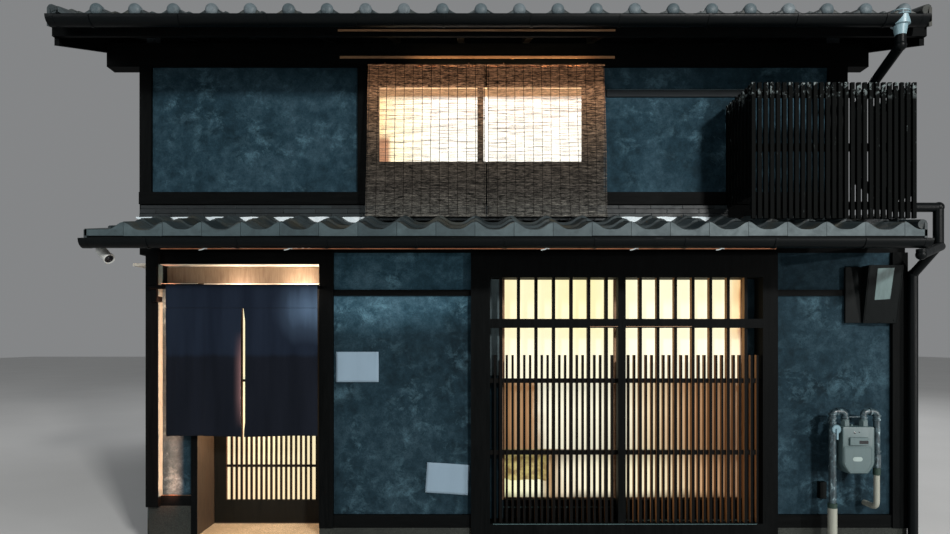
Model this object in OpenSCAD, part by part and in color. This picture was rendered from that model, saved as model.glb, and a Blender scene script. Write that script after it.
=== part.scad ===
// Two-storey wooden townhouse for a closed street row, in millimetres.
// X runs along the street, Y into the house and Z up from the ground.
// Within the modules Y = 0 is the plaster face of the ground floor's front.
// The whole house is then moved so that the origin is the middle of its plan.

/* [House] */
// Depth from the upper front wall's face to the rear wall's face
house_depth = 6400; // [5000:50:9000]
// Middle of the street front from the middle of the plan
front_offset = 165; // [140:1:170]
// Step of the left party wall outside the corner post
left_step = 119; // [90:1:130]
// Street front's run past the right party wall
wing_w = 347; // [300:1:420]
// Step back of the upper front wall behind the ground-floor front
upper_setback = 107; // [100:1:160]
// Thickness of the party walls
party_t = 140; // [90:5:200]
// Thickness of the plastered front walls
wall_t = 90; // [70:5:90]
// How far posts stand proud of the plaster
post_proud = 30; // [10:1:45]

/* [Ground floor front] */
// Corner post's width
corner_post_w = 86; // [70:1:120]
// How far the corner post stands proud of the plaster
corner_post_proud = 60; // [35:1:70]
// Plaster wall left of the entrance
porch_wall_w = 213; // [180:1:320]
// Entrance jamb's width
jamb_w = 42; // [30:1:60]
// Entrance's clear width
doorway_w = 841; // [800:1:900]
// Post between the entrance and the middle wall
door_post_w = 97; // [80:1:120]
// Plaster wall between the entrance and the window
middle_wall_w = 952; // [900:1:1100]
// Window's left stile
window_stile_left_w = 132; // [100:1:150]
// Window's clear width between the stiles
window_w = 1877; // [1500:1:2200]
// Window's right stile
window_stile_right_w = 104; // [80:1:130]
// Plaster wall right of the window
right_wall_w = 799; // [600:1:900]
// Right end post's width
end_post_w = 105; // [80:1:140]

/* [Upper floor front] */
// Upper left post's width
upper_post_w = 85; // [70:1:110]
// Upper left plaster wall's width
upper_wall_left_w = 1460; // [1200:5:1700]
// Posts beside the upper window
window_post_w = 78; // [60:1:100]
// Upper window's width between its posts
upper_window_w = 1588; // [1400:2:1800]
// Upper right post's width
upper_end_post_w = 136; // [100:1:160]

/* [Heights] */
// Ground floor's top above the street
floor_h = 150; // [120:5:190]
// Foundation stones' top
plinth_h = 200; // [195:1:240]
// Foundation stone under the wall beside the entrance
porch_plinth_h = 353; // [300:1:400]
// Ground sill beams' height
sill_h = 91; // [70:1:120]
// Wall rail's underside
rail_z = 1806; // [1700:1:1900]
// Wall rail's height
rail_h = 42; // [30:1:60]
// Underside of the entrance's lintel
lintel_z = 2024; // [1980:1:2060]
// Top of the ground-floor walls
wall_top = 2105; // [2090:1:2140]
// Top of the upper floor
upper_floor_top = 2461; // [2440:1:2520]
// Thickness of the upper floor
upper_floor_t = 80; // [50:1:120]
// Upper sill beam's height
upper_sill_h = 86; // [60:1:110]
// Top of the upper plaster walls
upper_wall_top = 3437; // [3300:1:3600]
// Eave beam's height
eave_beam_h = 173; // [120:1:200]

/* [Entrance] */
// Distance of the door leaf behind the plaster face
door_setback = 255; // [240:1:300]
// Door leaf's thickness
door_t = 35; // [30:1:40]
// Door leaf's width
door_w = 826; // [790:1:840]
// Door stile's width
door_stile_w = 85; // [60:1:100]
// Door bottom board's top above the leaf's foot
door_board_h = 162; // [100:1:300]
// Door top rail's height
door_top_h = 80; // [60:1:100]
// Gaps in the door's lattice
door_gaps = 18; // [12:1:22]
// Door lattice bar's width
door_bar_w = 14; // [10:1:18]
// Gap around the door leaf
door_gap = 6; // [5:1:8]
// Underside of the door's guide planks
guide_z = 1915; // [1880:1:1950]
// Thickness of the door's guide planks
guide_t = 25; // [20:1:30]

/* [Lattice window] */
// Frame members' step in front of the plaster
frame_proud = 45; // [35:1:60]
// Frame's depth behind the plaster face
frame_back = 170; // [150:1:200]
// Underside of the window's header
header_z = 1931; // [1850:1:2000]
// Top of the window's sill
window_sill_z = 235; // [210:1:270]
// Transom's underside
transom_z = 1583; // [1500:1:1650]
// Transom's height
transom_h = 63; // [40:1:80]
// Centre mullion's width
mullion_w = 52; // [40:1:70]
// Main lattice bars in each half
main_bars = 7; // [5:1:8]
// Pitch of the main lattice bars
bar_pitch = 121.6; // [110:0.1:130]
// Main lattice bar's width
main_bar_w = 21; // [16:1:27]
// Small lattice bar's width
small_bar_w = 15; // [10:1:18]
// Top of the small lattice bars
small_bar_top = 1396; // [1200:1:1500]
// Upper cross rail's height above the street
upper_cross_z = 1218; // [1100:1:1300]
// Lower cross rail's height above the street
lower_cross_z = 720; // [600:1:800]
// Cross rail's height
cross_rail_h = 32; // [20:1:40]
// Plaster reveal left of the panes
reveal_left = 96; // [60:1:140]
// Plaster reveal right of the panes
reveal_right = 59; // [40:1:100]
// Underside of the panes
pane_z = 367; // [330:1:420]

/* [Roofs] */
// Main roof's rise for each unit of run
main_slope = 0.367; // [0.3:0.001:0.45]
// Lower roof's rise for each unit of run
lower_slope = 0.285; // [0.25:0.001:0.35]
// Main eave's reach in front of the upper walls
main_reach = 565; // [450:5:700]
// Lower eave's reach in front of the ground-floor plaster
lower_reach = 518; // [480:1:600]
// Left verge's reach beyond the party wall
verge_left = 292; // [200:1:350]
// Right verge's reach beyond the party wall
verge_right = 208; // [150:1:350]
// Lower roof's reach past the left party wall
lower_over_left = 26; // [10:1:60]
// Lower roof's reach past the right party wall
lower_over_right = 138; // [100:1:200]
// Underside of the lower roof's tiles at the eave
lower_tile_z = 2140; // [2135:1:2200]
// Rafters' spacing
rafter_pitch = 455; // [303:1:500]
// Rafter's width
rafter_w = 45; // [36:1:60]
// Main rafters' height
rafter_h = 75; // [60:1:100]
// Lower rafters' height
lower_rafter_h = 45; // [36:1:60]
// Roof boards' thickness
board_t = 15; // [12:1:20]
// Exposed length of a tile course in plan, before it is fitted to the slope
course = 205; // [180:1:230]
// Exposed width of a tile
tile_pitch = 240; // [220:1:265]
// Left verge to the main roof's first tile roll
main_first_roll = 307; // [240:1:340]
// Left verge to the lower roof's first tile roll
lower_first_roll = 244; // [200:1:300]
// Radius of the tiles' rolls
roll_r = 28; // [22:1:32]
// Tile layer's thickness
tile_t = 29; // [24:1:40]
// Step between tile courses
tile_step = 22; // [12:1:30]

/* [Gutters and pipes] */
// Gutter's outer radius
gutter_r = 52; // [40:1:65]
// Gutter's wall
gutter_wall = 4; // [3:1:6]
// Downpipe's outer radius
downpipe_r = 31; // [25:1:38]
// Spacing of the gutters' straps
strap_pitch = 540; // [400:5:700]

/* [Screen and blinds] */
// Slatted screen's width
screen_w = 1056; // [800:1:1150]
// Slatted screen's reach past the lower roof's right end
screen_past = 49; // [0:1:80]
// Slatted screen's step in front of the plaster face
screen_reach = 350; // [250:1:400]
// Slatted screen's top
screen_top = 3151; // [2900:1:3200]
// Number of slats in the screen's front
screen_slats = 27; // [18:1:30]
// Slat's width
slat_w = 24; // [16:1:27]
// Reed blinds' left edge inside the window's left post
blind_inset = 4; // [0:1:20]
// Reed blinds' reach past the window's right post
blind_past = 76; // [40:1:100]
// Gap between the two reed blinds
blind_gap = 4; // [2:1:12]
// Reed blinds' top
blind_top = 3432; // [3380:1:3434]
// Reed blinds' thickness
blind_t = 8; // [6:1:12]
// Entrance curtain's left edge from the corner post
noren_inset = 73; // [60:1:140]
// Entrance curtain's lap over the entrance post
noren_lap = 7; // [0:1:20]
// Entrance curtain's lower edge
noren_foot = 846; // [750:1:1000]
// Entrance curtain's thickness
noren_t = 6; // [4:1:8]
// Height of the curtain rod's middle
rod_z = 1861; // [1840:1:1880]
// Curtain rod's radius
rod_r = 14; // [10:1:16]

/* [Services] */
// Gas meter's width
meter_w = 213; // [180:1:240]
// Gas meter's height
meter_h = 312; // [260:1:340]
// Gas meter's depth
meter_d = 130; // [100:1:150]
// Gas meter's left side from the end post
meter_from_post = 438; // [400:1:500]
// Gas meter's foot above the street
meter_z = 610; // [500:1:700]
// Gas riser's outer radius
riser_r = 24; // [17:1:27]
// Radius of the sleeve around the riser's foot
sleeve_r = 29; // [26:1:34]
// Outer radius of the gas pipes over the meter
gas_r = 22; // [15:1:24]
// Gas outlet's outer radius
outlet_r = 19; // [13:1:22]
// Gas pipes' distance from the plaster
gas_out = 140; // [120:1:160]
// Half the distance between the gas meter's two ports
port_half = 62; // [45:1:70]
// Electricity meter box's width
meter_box_w = 215; // [180:1:240]
// Electricity meter box's height
meter_box_h = 393; // [300:1:420]
// Electricity meter box's depth at its top
meter_box_d = 113; // [90:1:130]
// Electricity meter box's depth at its foot
meter_box_foot_d = 45; // [40:1:113]
// Electricity meter box's foot above the street
meter_box_z = 1615; // [1550:1:1650]
// Width of a paper sheet
paper_w = 297; // [210:1:297]
// Height of a paper sheet
paper_h = 210; // [148:1:210]
// First sheet's foot above the street
paper_z = 1208; // [900:1:1500]
// Second sheet's middle above the street
paper_low_z = 537; // [450:1:900]

/* [Hidden] */
$fn = 32;
eps = 0.01;
seat = 0.2;

// Colours
plaster_c = [0.21, 0.28, 0.33];
timber_c = [0.07, 0.07, 0.07];
stone_c = [0.45, 0.45, 0.44];
tile_c = [0.42, 0.46, 0.49];
warm_c = [1.0, 0.88, 0.62];

// Overall width of the ground-floor front
front_w = corner_post_w + porch_wall_w + jamb_w + doorway_w + door_post_w + middle_wall_w
    + window_stile_left_w + window_w + window_stile_right_w + right_wall_w + end_post_w;

// Ground-floor front, from left to right
front_left = front_offset - front_w / 2;
porch_wall_x = front_left + corner_post_w;
jamb_x = porch_wall_x + porch_wall_w;
doorway_x = jamb_x + jamb_w;
door_post_x = doorway_x + doorway_w;
middle_x = door_post_x + door_post_w;
stile_left_x = middle_x + middle_wall_w;
window_x = stile_left_x + window_stile_left_w;
stile_right_x = window_x + window_w;
right_x = stile_right_x + window_stile_right_w;
end_post_x = right_x + right_wall_w;
front_right = end_post_x + end_post_w;

// Upper front, from left to right
upper_left = front_left - left_step;
upper_right = front_right - wing_w;
upper_wall_left_x = upper_left + upper_post_w;
post_b_x = upper_wall_left_x + upper_wall_left_w;
upper_window_x = post_b_x + window_post_w;
post_c_x = upper_window_x + upper_window_w;
upper_wall_right_x = post_c_x + window_post_w;
post_d_x = upper_right - upper_end_post_w;

// Edges of the two roofs
lower_left = upper_left - lower_over_left;
lower_right = upper_right + lower_over_right;
main_left = upper_left - verge_left;
main_right = upper_right + verge_right;

// Inner faces of the party walls
inner_left = upper_left + party_t;
inner_right = upper_right - party_t;

// Edges of what hangs or stands in front of the walls
screen_x = lower_right + screen_past - screen_w;
blind_left = upper_window_x + blind_inset;
blind_w = (post_c_x + blind_past - blind_gap - blind_left) / 2;
noren_left_x = porch_wall_x + noren_inset;
noren_w = door_post_x + noren_lap - noren_left_x;
meter_x = end_post_x - meter_from_post;
lattice_middle = window_x + window_w / 2 - 31;

// Depths
upper_post_front = upper_setback - 20;
upper_wall_back = upper_setback + 80;
rear_y = upper_setback + house_depth;
rear_in = rear_y - 100;
return_y = 200;
tile_y = wall_t - 3;
ridge_y = (upper_setback + rear_y) / 2;
main_tip = upper_setback - main_reach;
rear_tip = 2 * ridge_y - main_tip;
gutter_y = main_tip - gutter_r - 8;
ridge_half = 130;
ridge_end_half = 176;
main_courses = round((ridge_y - main_tip) / course);
main_course = (ridge_y - main_tip) / main_courses;
lower_courses = round((tile_y + lower_reach) / course);
lower_course = (tile_y + lower_reach) / lower_courses;
plan_middle = (lower_gutter_y() - gutter_r + 2 * ridge_y - gutter_y + gutter_r) / 2;

// Heights
upper_sill_top = upper_floor_top + upper_sill_h;
roof_under = upper_wall_top + eave_beam_h;
tile_gap = rafter_h + board_t;
sill_top = plinth_h + sill_h;
door_foot = floor_h + door_gap * 2;
door_top = guide_z + 20;
ceiling_z = lintel_z - 9;
ceiling_t = 18;
stone_joint = 4;
tile_body = tile_gap + tile_t;
roll_lift = 16;
roll_top = roll_lift + roll_r * 1.08;
main_gutter_z = main_under(main_tip) + 75;
lower_gutter_z = lower_tile_z - 32;

// Panes of the upper window: space beside them, between them, foot and top
upper_pane_side = 71;
upper_pane_mid = 43;
upper_pane_z = [2770, 3310];

// Rear windows: width, foot and top of each storey
rear_window_w = 1600;
rear_low = [900, 1900];
rear_high = [2770, 3310];
rear_middle = (inner_left + inner_right) / 2;

// Underside of the main rafters at depth y, on the front side
function main_under(y) = roof_under + main_slope * (y - upper_setback);
// Underside of the lower roof's tiles at depth y
function lower_tile_under(y) = lower_tile_z + lower_slope * (y + lower_reach);
// Underside of the lower rafters at depth y
function lower_under(y) = lower_tile_under(y) - lower_rafter_h - board_t - 10;
// Top of the lower roof's tiles in the last course at depth y
function last_tile_top(y) =
    lower_tile_under(y) + tile_t + tile_step * (tile_y - y) / lower_course;
// Middle of the lower gutter
function lower_gutter_y() = -lower_reach - gutter_r - 6;

// Box between two corners given as ranges
module block(x, y, z) {
    translate([x[0], y[0], z[0]])
        cube([x[1] - x[0], y[1] - y[0], z[1] - z[0]]);
}

// Outline in Y and Z extruded along X
module profile(points, x) {
    translate([x[0], 0, 0])
        rotate([90, 0, 90])
            linear_extrude(x[1] - x[0])
                polygon(points);
}

// Copy of the front half turned to the rear, about the ridge
module rear_side() {
    translate([0, 2 * ridge_y, 0])
        mirror([0, 1, 0])
            children();
}

// Stepped top of a tiled slope: depth and height of the corners, from the eave up
function step_points(tip, length, courses, rise, foot, body) = [
    for (i = [0 : courses - 1]) each [
        [tip + i * length, foot + rise * i * length + body + tile_step],
        [tip + (i + 1) * length, foot + rise * (i + 1) * length + body]
    ]
];

// Middles of a roof's tile rolls, with one along each verge
function roll_places(x, first) = concat(
    [x[0] + roll_r],
    [for (place = [x[0] + first : tile_pitch : x[1] - 3 * roll_r]) place],
    [x[1] - roll_r]
);

// Round pipe through a list of points, with fatter elbows at its bends
module pipe_run(points, r) {
    for (i = [0 : len(points) - 2]) {
        a = points[i];
        b = points[i + 1];
        d = b - a;
        turn = atan2(d[1], d[0]);
        tilt = acos(d[2] / norm(d));
        translate(a) rotate([0, tilt, turn]) cylinder(r = r, h = norm(d));
        if (i > 0) translate(a) sphere(r = r * 1.12);
    }
}

// Moves everything so that the plan's middle is at the origin
module place() {
    translate([0, -plan_middle, 0])
        children();
}

module foundation_stones() {
    color(stone_c) place() {
        block([front_left, jamb_x], [-20, wall_t], [0, porch_plinth_h]);
        block([jamb_x - eps, doorway_x], [-20, wall_t], [0, floor_h]);
        block([door_post_x, stile_left_x - stone_joint], [-20, wall_t], [0, plinth_h]);
        block([stile_left_x, right_x - stone_joint], [-20, wall_t], [0, floor_h]);
        block([right_x, front_right], [-20, wall_t - stone_joint], [0, plinth_h]);
        block([upper_left, inner_left], [return_y, rear_y], [0, plinth_h]);
        block([front_left, porch_wall_x], [wall_t + stone_joint, return_y - stone_joint], [0, plinth_h]);
        block([inner_right, upper_right], [wall_t, rear_y], [0, plinth_h]);
        block([inner_left + stone_joint, inner_right - stone_joint], [rear_in, rear_y], [0, plinth_h]);
    }
}

module ground_floor() {
    color([0.55, 0.5, 0.43]) place() {
        block([inner_left, inner_right], [return_y, rear_in], [0, floor_h]);
        block([porch_wall_x + stone_joint, inner_right], [wall_t, return_y + eps], [0, floor_h]);
        block([doorway_x, door_post_x], [-20, wall_t + eps], [0, floor_h]);
    }
}

module upper_floor() {
    color([0.35, 0.25, 0.17]) place()
        block([inner_left, inner_right], [upper_wall_back, rear_in],
            [upper_floor_top - upper_floor_t, upper_floor_top]);
}

// Outline of a party wall, which starts at two depths
module party_wall(x, low_start) {
    profile([
        [low_start, plinth_h],
        [low_start, wall_top],
        [upper_wall_back, wall_top],
        [upper_wall_back, main_under(upper_wall_back) + rafter_h - seat],
        [ridge_y, main_under(ridge_y) + rafter_h - seat],
        [rear_y, main_under(2 * ridge_y - rear_y) + rafter_h - seat],
        [rear_y, plinth_h]
    ], x);
}

module party_wall_left() {
    color(plaster_c) place() {
        party_wall([upper_left, inner_left], return_y);
        block([front_left, porch_wall_x], [wall_t, return_y + eps], [plinth_h, wall_top]);
    }
}

module party_wall_right() {
    color(plaster_c) place()
        party_wall([inner_right, upper_right], wall_t);
}

module front_posts() {
    color(timber_c) place() {
        block([front_left, porch_wall_x], [-corner_post_proud, wall_t], [porch_plinth_h, wall_top]);
        block([jamb_x, doorway_x], [-post_proud, wall_t], [floor_h, rod_z]);
        block([door_post_x, middle_x], [-post_proud, wall_t], [plinth_h, wall_top]);
        block([end_post_x, front_right], [-post_proud, wall_t], [plinth_h, wall_top]);
    }
}

module upper_posts() {
    color(timber_c) place()
        for (x = [[upper_left, upper_wall_left_x], [post_b_x, upper_window_x],
                  [post_c_x, upper_wall_right_x], [post_d_x, upper_right]])
            block(x, [upper_post_front, upper_wall_back], [upper_sill_top, upper_wall_top]);
}

module sill_beams() {
    color(timber_c) place() {
        block([porch_wall_x, jamb_x], [-20, wall_t], [porch_plinth_h, porch_plinth_h + 70]);
        block([middle_x, stile_left_x], [-20, wall_t], [plinth_h, sill_top]);
        block([right_x, end_post_x], [-20, wall_t], [plinth_h, sill_top]);
        block([window_x + reveal_left, stile_right_x - reveal_right],
            [wall_t, frame_back], [window_sill_z, pane_z]);
        block([upper_left, upper_right], [upper_post_front - 10, upper_wall_back],
            [upper_floor_top, upper_sill_top]);
        block([inner_left, inner_right], [rear_in, rear_y], [plinth_h, sill_top]);
    }
}

// Beams over the ground floor's openings, with the rails across the plaster
module front_beams() {
    color(timber_c) place() {
        block([front_left, front_right], [0, wall_t], [wall_top, lower_under(0)]);
        block([upper_left, upper_right], [wall_t, upper_wall_back], [wall_top, upper_floor_top]);
        block([porch_wall_x, door_post_x], [-post_proud, wall_t], [lintel_z, wall_top]);
        block([middle_x, stile_left_x], [-15, 0], [rail_z, rail_z + rail_h]);
        block([right_x, end_post_x], [-15, 0], [rail_z, rail_z + rail_h]);
        block([porch_wall_x, doorway_x], [-15, wall_t], [rod_z, rod_z + 30]);
    }
}

module roof_beams() {
    half = 60;
    beam_h = 200;
    top = main_under(ridge_y - half) + rafter_h - seat;
    color(timber_c) place() {
        block([main_left + 60, main_right - 60], [upper_post_front, upper_wall_back],
            [upper_wall_top, main_under(upper_post_front)]);
        block([inner_left, inner_right], [rear_in, rear_y], [upper_wall_top, main_under(upper_post_front)]);
        block([inner_left, inner_right], [ridge_y - half, ridge_y + half], [top - beam_h, top]);
    }
}

module front_walls() {
    opening_z = [window_sill_z, header_z];
    color(plaster_c) place() {
        block([porch_wall_x, jamb_x], [0, wall_t], [porch_plinth_h + 70, rod_z]);
        block([middle_x, stile_left_x], [0, wall_t], [sill_top, wall_top]);
        block([right_x, end_post_x], [0, wall_t], [sill_top, wall_top]);
        block([window_x, window_x + reveal_left], [wall_t, frame_back], opening_z);
        block([stile_right_x - reveal_right, stile_right_x], [wall_t, frame_back], opening_z);
    }
}

module porch_ceiling() {
    z = [ceiling_z, ceiling_z + ceiling_t];
    color([0.75, 0.62, 0.45]) place() {
        block([porch_wall_x + seat, doorway_x + doorway_w], [wall_t, door_setback - door_gap - guide_t], z);
        block([upper_left, front_left - seat], [0, return_y - seat], z);
    }
}

// Boards beside and over the door, each its own piece, with the planks and the rail that guide it
module porch_inner_walls() {
    front_y = door_setback - door_gap;
    back_y = door_setback + door_t + door_gap;
    guide_x = [doorway_x + 2, door_post_x + door_w - 110];
    board_top = ceiling_z - seat;
    color([0.5, 0.38, 0.26]) place() {
        block([inner_left, doorway_x], [front_y, door_setback + door_t], [floor_h, board_top]);
        block([jamb_x, doorway_x], [wall_t, front_y - seat], [floor_h, board_top]);
        block([door_post_x - 23, door_post_x + 25], [wall_t, front_y], [floor_h, guide_z - seat]);
        block([inner_left, guide_x[1]], [front_y - guide_t, back_y + guide_t],
            [ceiling_z, upper_floor_top - upper_floor_t]);
        block(guide_x, [front_y - guide_t, front_y], [guide_z, board_top]);
        block(guide_x, [back_y, back_y + guide_t], [guide_z, board_top]);
        block(guide_x, [door_setback + 12, door_setback + 22], [floor_h, floor_h + door_gap]);
    }
}

// Door leaf with its lattice in one piece and a round finger pull
module entrance_door() {
    x0 = doorway_x + 5;
    x1 = x0 + door_w;
    y = [door_setback, door_setback + door_t];
    lattice_z = door_foot + door_board_h;
    lattice_top = door_top - door_top_h;
    open_w = door_w - 2 * door_stile_w;
    pull_z = door_foot + 860;
    pull_r = 24;
    color(timber_c) place() {
        difference() {
            block([x0, x0 + door_stile_w], y, [door_foot, door_top]);
            translate([x0 + door_stile_w / 2, door_setback - 1, pull_z])
                rotate([-90, 0, 0])
                    cylinder(r = pull_r, h = 11);
        }
        block([x1 - door_stile_w, x1], y, [door_foot, door_top]);
        block([x0 + door_stile_w, x1 - door_stile_w], y, [door_foot, lattice_z]);
        block([x0 + door_stile_w, x1 - door_stile_w], y, [lattice_top, door_top]);
        for (i = [1 : door_gaps - 1]) {
            x = x0 + door_stile_w + i * open_w / door_gaps;
            block([x - door_bar_w / 2, x + door_bar_w / 2],
                [door_setback + 3, door_setback + 23], [lattice_z - eps, lattice_top + eps]);
        }
        for (z = [door_foot + 412, door_foot + 1040])
            block([x0 + door_stile_w - eps, x1 - door_stile_w + eps],
                [door_setback + 9, door_setback + 19], [z - 9, z + 9]);
    }
}

module door_glass() {
    x0 = doorway_x + 5 + door_stile_w;
    color(warm_c) place()
        block([x0, x0 + door_w - 2 * door_stile_w], [door_setback + 26, door_setback + 30],
            [door_foot + door_board_h, door_top - door_top_h]);
}

module noren_rod() {
    rod_y = -corner_post_proud - 25;
    rod_left = front_left + 40;
    rod_right = door_post_x + 20;
    color(timber_c) place() {
        translate([rod_left, rod_y, rod_z])
            rotate([0, 90, 0])
                cylinder(r = rod_r, h = rod_right - rod_left);
        block([porch_wall_x - 34, porch_wall_x], [-corner_post_proud - 20, -corner_post_proud],
            [rod_z - 100, rod_z + 146]);
        block([door_post_x + 2, door_post_x + 20], [rod_y, -post_proud], [rod_z - 8, rod_z + 8]);
    }
}

// Entrance curtain: two widths of cloth joined along the top
module noren() {
    cloth_y = -corner_post_proud - 25 - rod_r - 2 - noren_t;
    slit_w = 20;
    slit_top = rod_z - 90;
    middle = noren_left_x + noren_w / 2;
    color([0.06, 0.09, 0.18]) place() {
        block([noren_left_x, noren_left_x + noren_w], [cloth_y, cloth_y + noren_t],
            [slit_top, rod_z + rod_r]);
        block([noren_left_x, middle - slit_w / 2], [cloth_y, cloth_y + noren_t],
            [noren_foot, slit_top + eps]);
        block([middle + slit_w / 2, noren_left_x + noren_w], [cloth_y, cloth_y + noren_t],
            [noren_foot, slit_top + eps]);
    }
}

module window_frame() {
    z = [window_sill_z, header_z];
    transom = [transom_z, transom_z + transom_h];
    bar_front = -22;
    color(timber_c) place() {
        block([stile_left_x, window_x], [-frame_proud, frame_back], z);
        block([stile_right_x, right_x], [-frame_proud, frame_back], z);
        block([lattice_middle - mullion_w / 2, lattice_middle + mullion_w / 2], [-frame_proud, 20], z);
        block([stile_left_x, right_x], [-frame_proud, frame_back], [header_z, wall_top]);
        block([stile_left_x, right_x], [-frame_proud, frame_back], [floor_h, window_sill_z]);
        block([window_x, lattice_middle - mullion_w / 2], [-frame_proud, bar_front], transom);
        block([lattice_middle + mullion_w / 2, stile_right_x], [-frame_proud, bar_front], transom);
    }
}

// One half of the window's lattice between x0 and x1
module lattice(x0, x1) {
    first = (x0 + x1) / 2 - (main_bars - 1) * bar_pitch / 2;
    small_pitch = bar_pitch / 3;
    ends = floor((first - x0 - small_bar_w) / small_pitch);
    bar_front = -22;
    color(timber_c) place() {
        for (i = [0 : main_bars - 1])
            translate([first + i * bar_pitch, 0, 0])
                block([-main_bar_w / 2, main_bar_w / 2], [bar_front, bar_front + 42],
                    [window_sill_z, header_z]);
        for (i = [-ends : 3 * (main_bars - 1) + ends])
            if (i < 0 || i > 3 * (main_bars - 1) || i % 3 != 0)
                translate([first + i * small_pitch, 0, 0])
                    block([-small_bar_w / 2, small_bar_w / 2], [bar_front + 4, bar_front + 34],
                        [window_sill_z, small_bar_top]);
        for (z = [upper_cross_z, lower_cross_z])
            block([x0, x1], [bar_front + 14, bar_front + 26],
                [z - cross_rail_h / 2, z + cross_rail_h / 2]);
    }
}

module lattice_left() {
    lattice(window_x, lattice_middle - mullion_w / 2);
}

module lattice_right() {
    lattice(lattice_middle + mullion_w / 2, stile_right_x);
}

module window_glass() {
    x0 = window_x + reveal_left;
    x1 = stile_right_x - reveal_right;
    middle = (x0 + x1) / 2;
    color(warm_c) place() {
        block([x0, middle - 2], [frame_back - 30, frame_back - 24], [pane_z, header_z]);
        block([middle + 2, x1], [frame_back - 30, frame_back - 24], [pane_z, header_z]);
    }
}

// Rafters under the lower eave, with the boards that lie on them and the eave board
module lower_rafters() {
    tip = -lower_reach + 20;
    board_half = 12;
    n = floor((lower_right - lower_left - 200) / rafter_pitch);
    first = (lower_left + lower_right) / 2 - n * rafter_pitch / 2;
    color(timber_c) place() {
        for (i = [0 : n])
            profile([
                [tip, lower_under(tip)],
                [wall_t, lower_under(wall_t)],
                [wall_t, lower_under(wall_t) + lower_rafter_h + eps],
                [tip, lower_under(tip) + lower_rafter_h + eps]
            ], [first + i * rafter_pitch - rafter_w / 2, first + i * rafter_pitch + rafter_w / 2]);
        profile([
            [tip, lower_under(tip) + lower_rafter_h],
            [wall_t, lower_under(wall_t) + lower_rafter_h],
            [wall_t, lower_tile_under(wall_t) - seat],
            [tip, lower_tile_under(tip) - seat]
        ], [lower_left + 10, lower_right - 10]);
        block([lower_left + 10, lower_right - 10], [tip - board_half, tip + board_half],
            [lower_under(tip) - 5, lower_tile_under(tip - board_half) - seat]);
    }
}

// Stepped courses of tiles from the eave to the wall, with their rolls
module lower_roof() {
    tip = -lower_reach;
    roll_end = upper_post_front - 70;
    color(tile_c) place() {
        profile(concat(
            [[tile_y, lower_tile_under(tile_y)], [tip, lower_tile_under(tip)]],
            step_points(tip, lower_course, lower_courses, lower_slope, lower_tile_z, tile_t)
        ), [lower_left, lower_right]);
        for (x = roll_places([lower_left, lower_right], lower_first_roll))
            pipe_run([
                [x, tip + 12, lower_tile_under(tip + 12) + tile_t + roll_lift],
                [x, roll_end, lower_tile_under(roll_end) + tile_t + roll_lift]
            ], roll_r);
    }
}

// Flat layers of tiles where the lower roof meets the upper wall
module noshi_band() {
    back = upper_post_front - 10;
    depth = 46;
    step_back = 8;
    layers = 3;
    z0 = last_tile_top(back) + seat;
    layer_h = (upper_floor_top - 12 - z0) / layers;
    color(tile_c) place()
        for (i = [0 : layers - 1])
            block([upper_left + 28, screen_x - seat], [back - depth + i * step_back, back],
                [z0 + i * layer_h, z0 + (i + 1) * layer_h + eps]);
}

// Half-round gutter along X, open at the top
module gutter(x, y, z) {
    translate([x[0], y, z])
        rotate([90, 0, 90])
            linear_extrude(x[1] - x[0])
                difference() {
                    circle(r = gutter_r);
                    circle(r = gutter_r - gutter_wall);
                    translate([-gutter_r * 2, 0]) square([gutter_r * 4, gutter_r * 2]);
                }
}

// Straps that carry a gutter, each with an arm back to the eave board
module gutter_straps(x, y, z, arm_y) {
    strap_w = 16;
    n = floor((x[1] - x[0] - 300) / strap_pitch);
    first = (x[0] + x[1] - n * strap_pitch - strap_w) / 2;
    for (i = [0 : n])
        translate([first + i * strap_pitch, y, z]) {
            rotate([90, 0, 90])
                linear_extrude(strap_w)
                    difference() {
                        circle(r = gutter_r + 4);
                        circle(r = gutter_r - eps);
                        translate([-gutter_r * 2, 0]) square([gutter_r * 4, gutter_r * 2]);
                    }
            block([0, strap_w], [gutter_r - eps, arm_y - y], [-9, 0]);
        }
}

module gutters() {
    lower_x = [upper_left + 26, upper_right + 80];
    main_x = [main_left + 80, main_right - 105];
    color(timber_c) place() {
        gutter(lower_x, lower_gutter_y(), lower_gutter_z);
        gutter_straps(lower_x, lower_gutter_y(), lower_gutter_z, -lower_reach + 8 - seat);
        gutter(main_x, gutter_y, main_gutter_z);
        gutter_straps(main_x, gutter_y, main_gutter_z, main_tip + 30 - seat);
        rear_side() {
            gutter(main_x, gutter_y, main_gutter_z);
            gutter_straps(main_x, gutter_y, main_gutter_z, main_tip + 30 - seat);
        }
    }
}

// Pipe from the main gutter, joined by a short one from the lower gutter
module downpipes() {
    outlet_x = upper_right - 30;
    lower_outlet_x = upper_right + 58;
    front_x = front_right + downpipe_r + 19;
    wall_x = front_right + 11;
    wall_y = -post_proud - downpipe_r - 2;
    front_y = -250;
    screen_y = 30;
    color(timber_c) place() {
        pipe_run([
            [outlet_x, gutter_y, main_gutter_z - gutter_r - 6],
            [outlet_x, gutter_y, main_gutter_z - 170],
            [outlet_x + 60, screen_y, main_gutter_z - 340],
            [outlet_x + 60, screen_y, lower_tile_z + 480],
            [outlet_x + 150, front_y, lower_tile_z + 230],
            [front_x, front_y, lower_tile_z + 230],
            [front_x, front_y, lower_tile_z - 20],
            [wall_x, wall_y, lower_tile_z - 190],
            [wall_x, wall_y, 0]
        ], downpipe_r);
        pipe_run([
            [lower_outlet_x, lower_gutter_y(), lower_gutter_z - gutter_r - 6],
            [lower_outlet_x, lower_gutter_y(), lower_gutter_z - gutter_r - 40],
            [front_x, front_y - 20, lower_tile_z - 30]
        ], downpipe_r - 3);
    }
}

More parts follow.
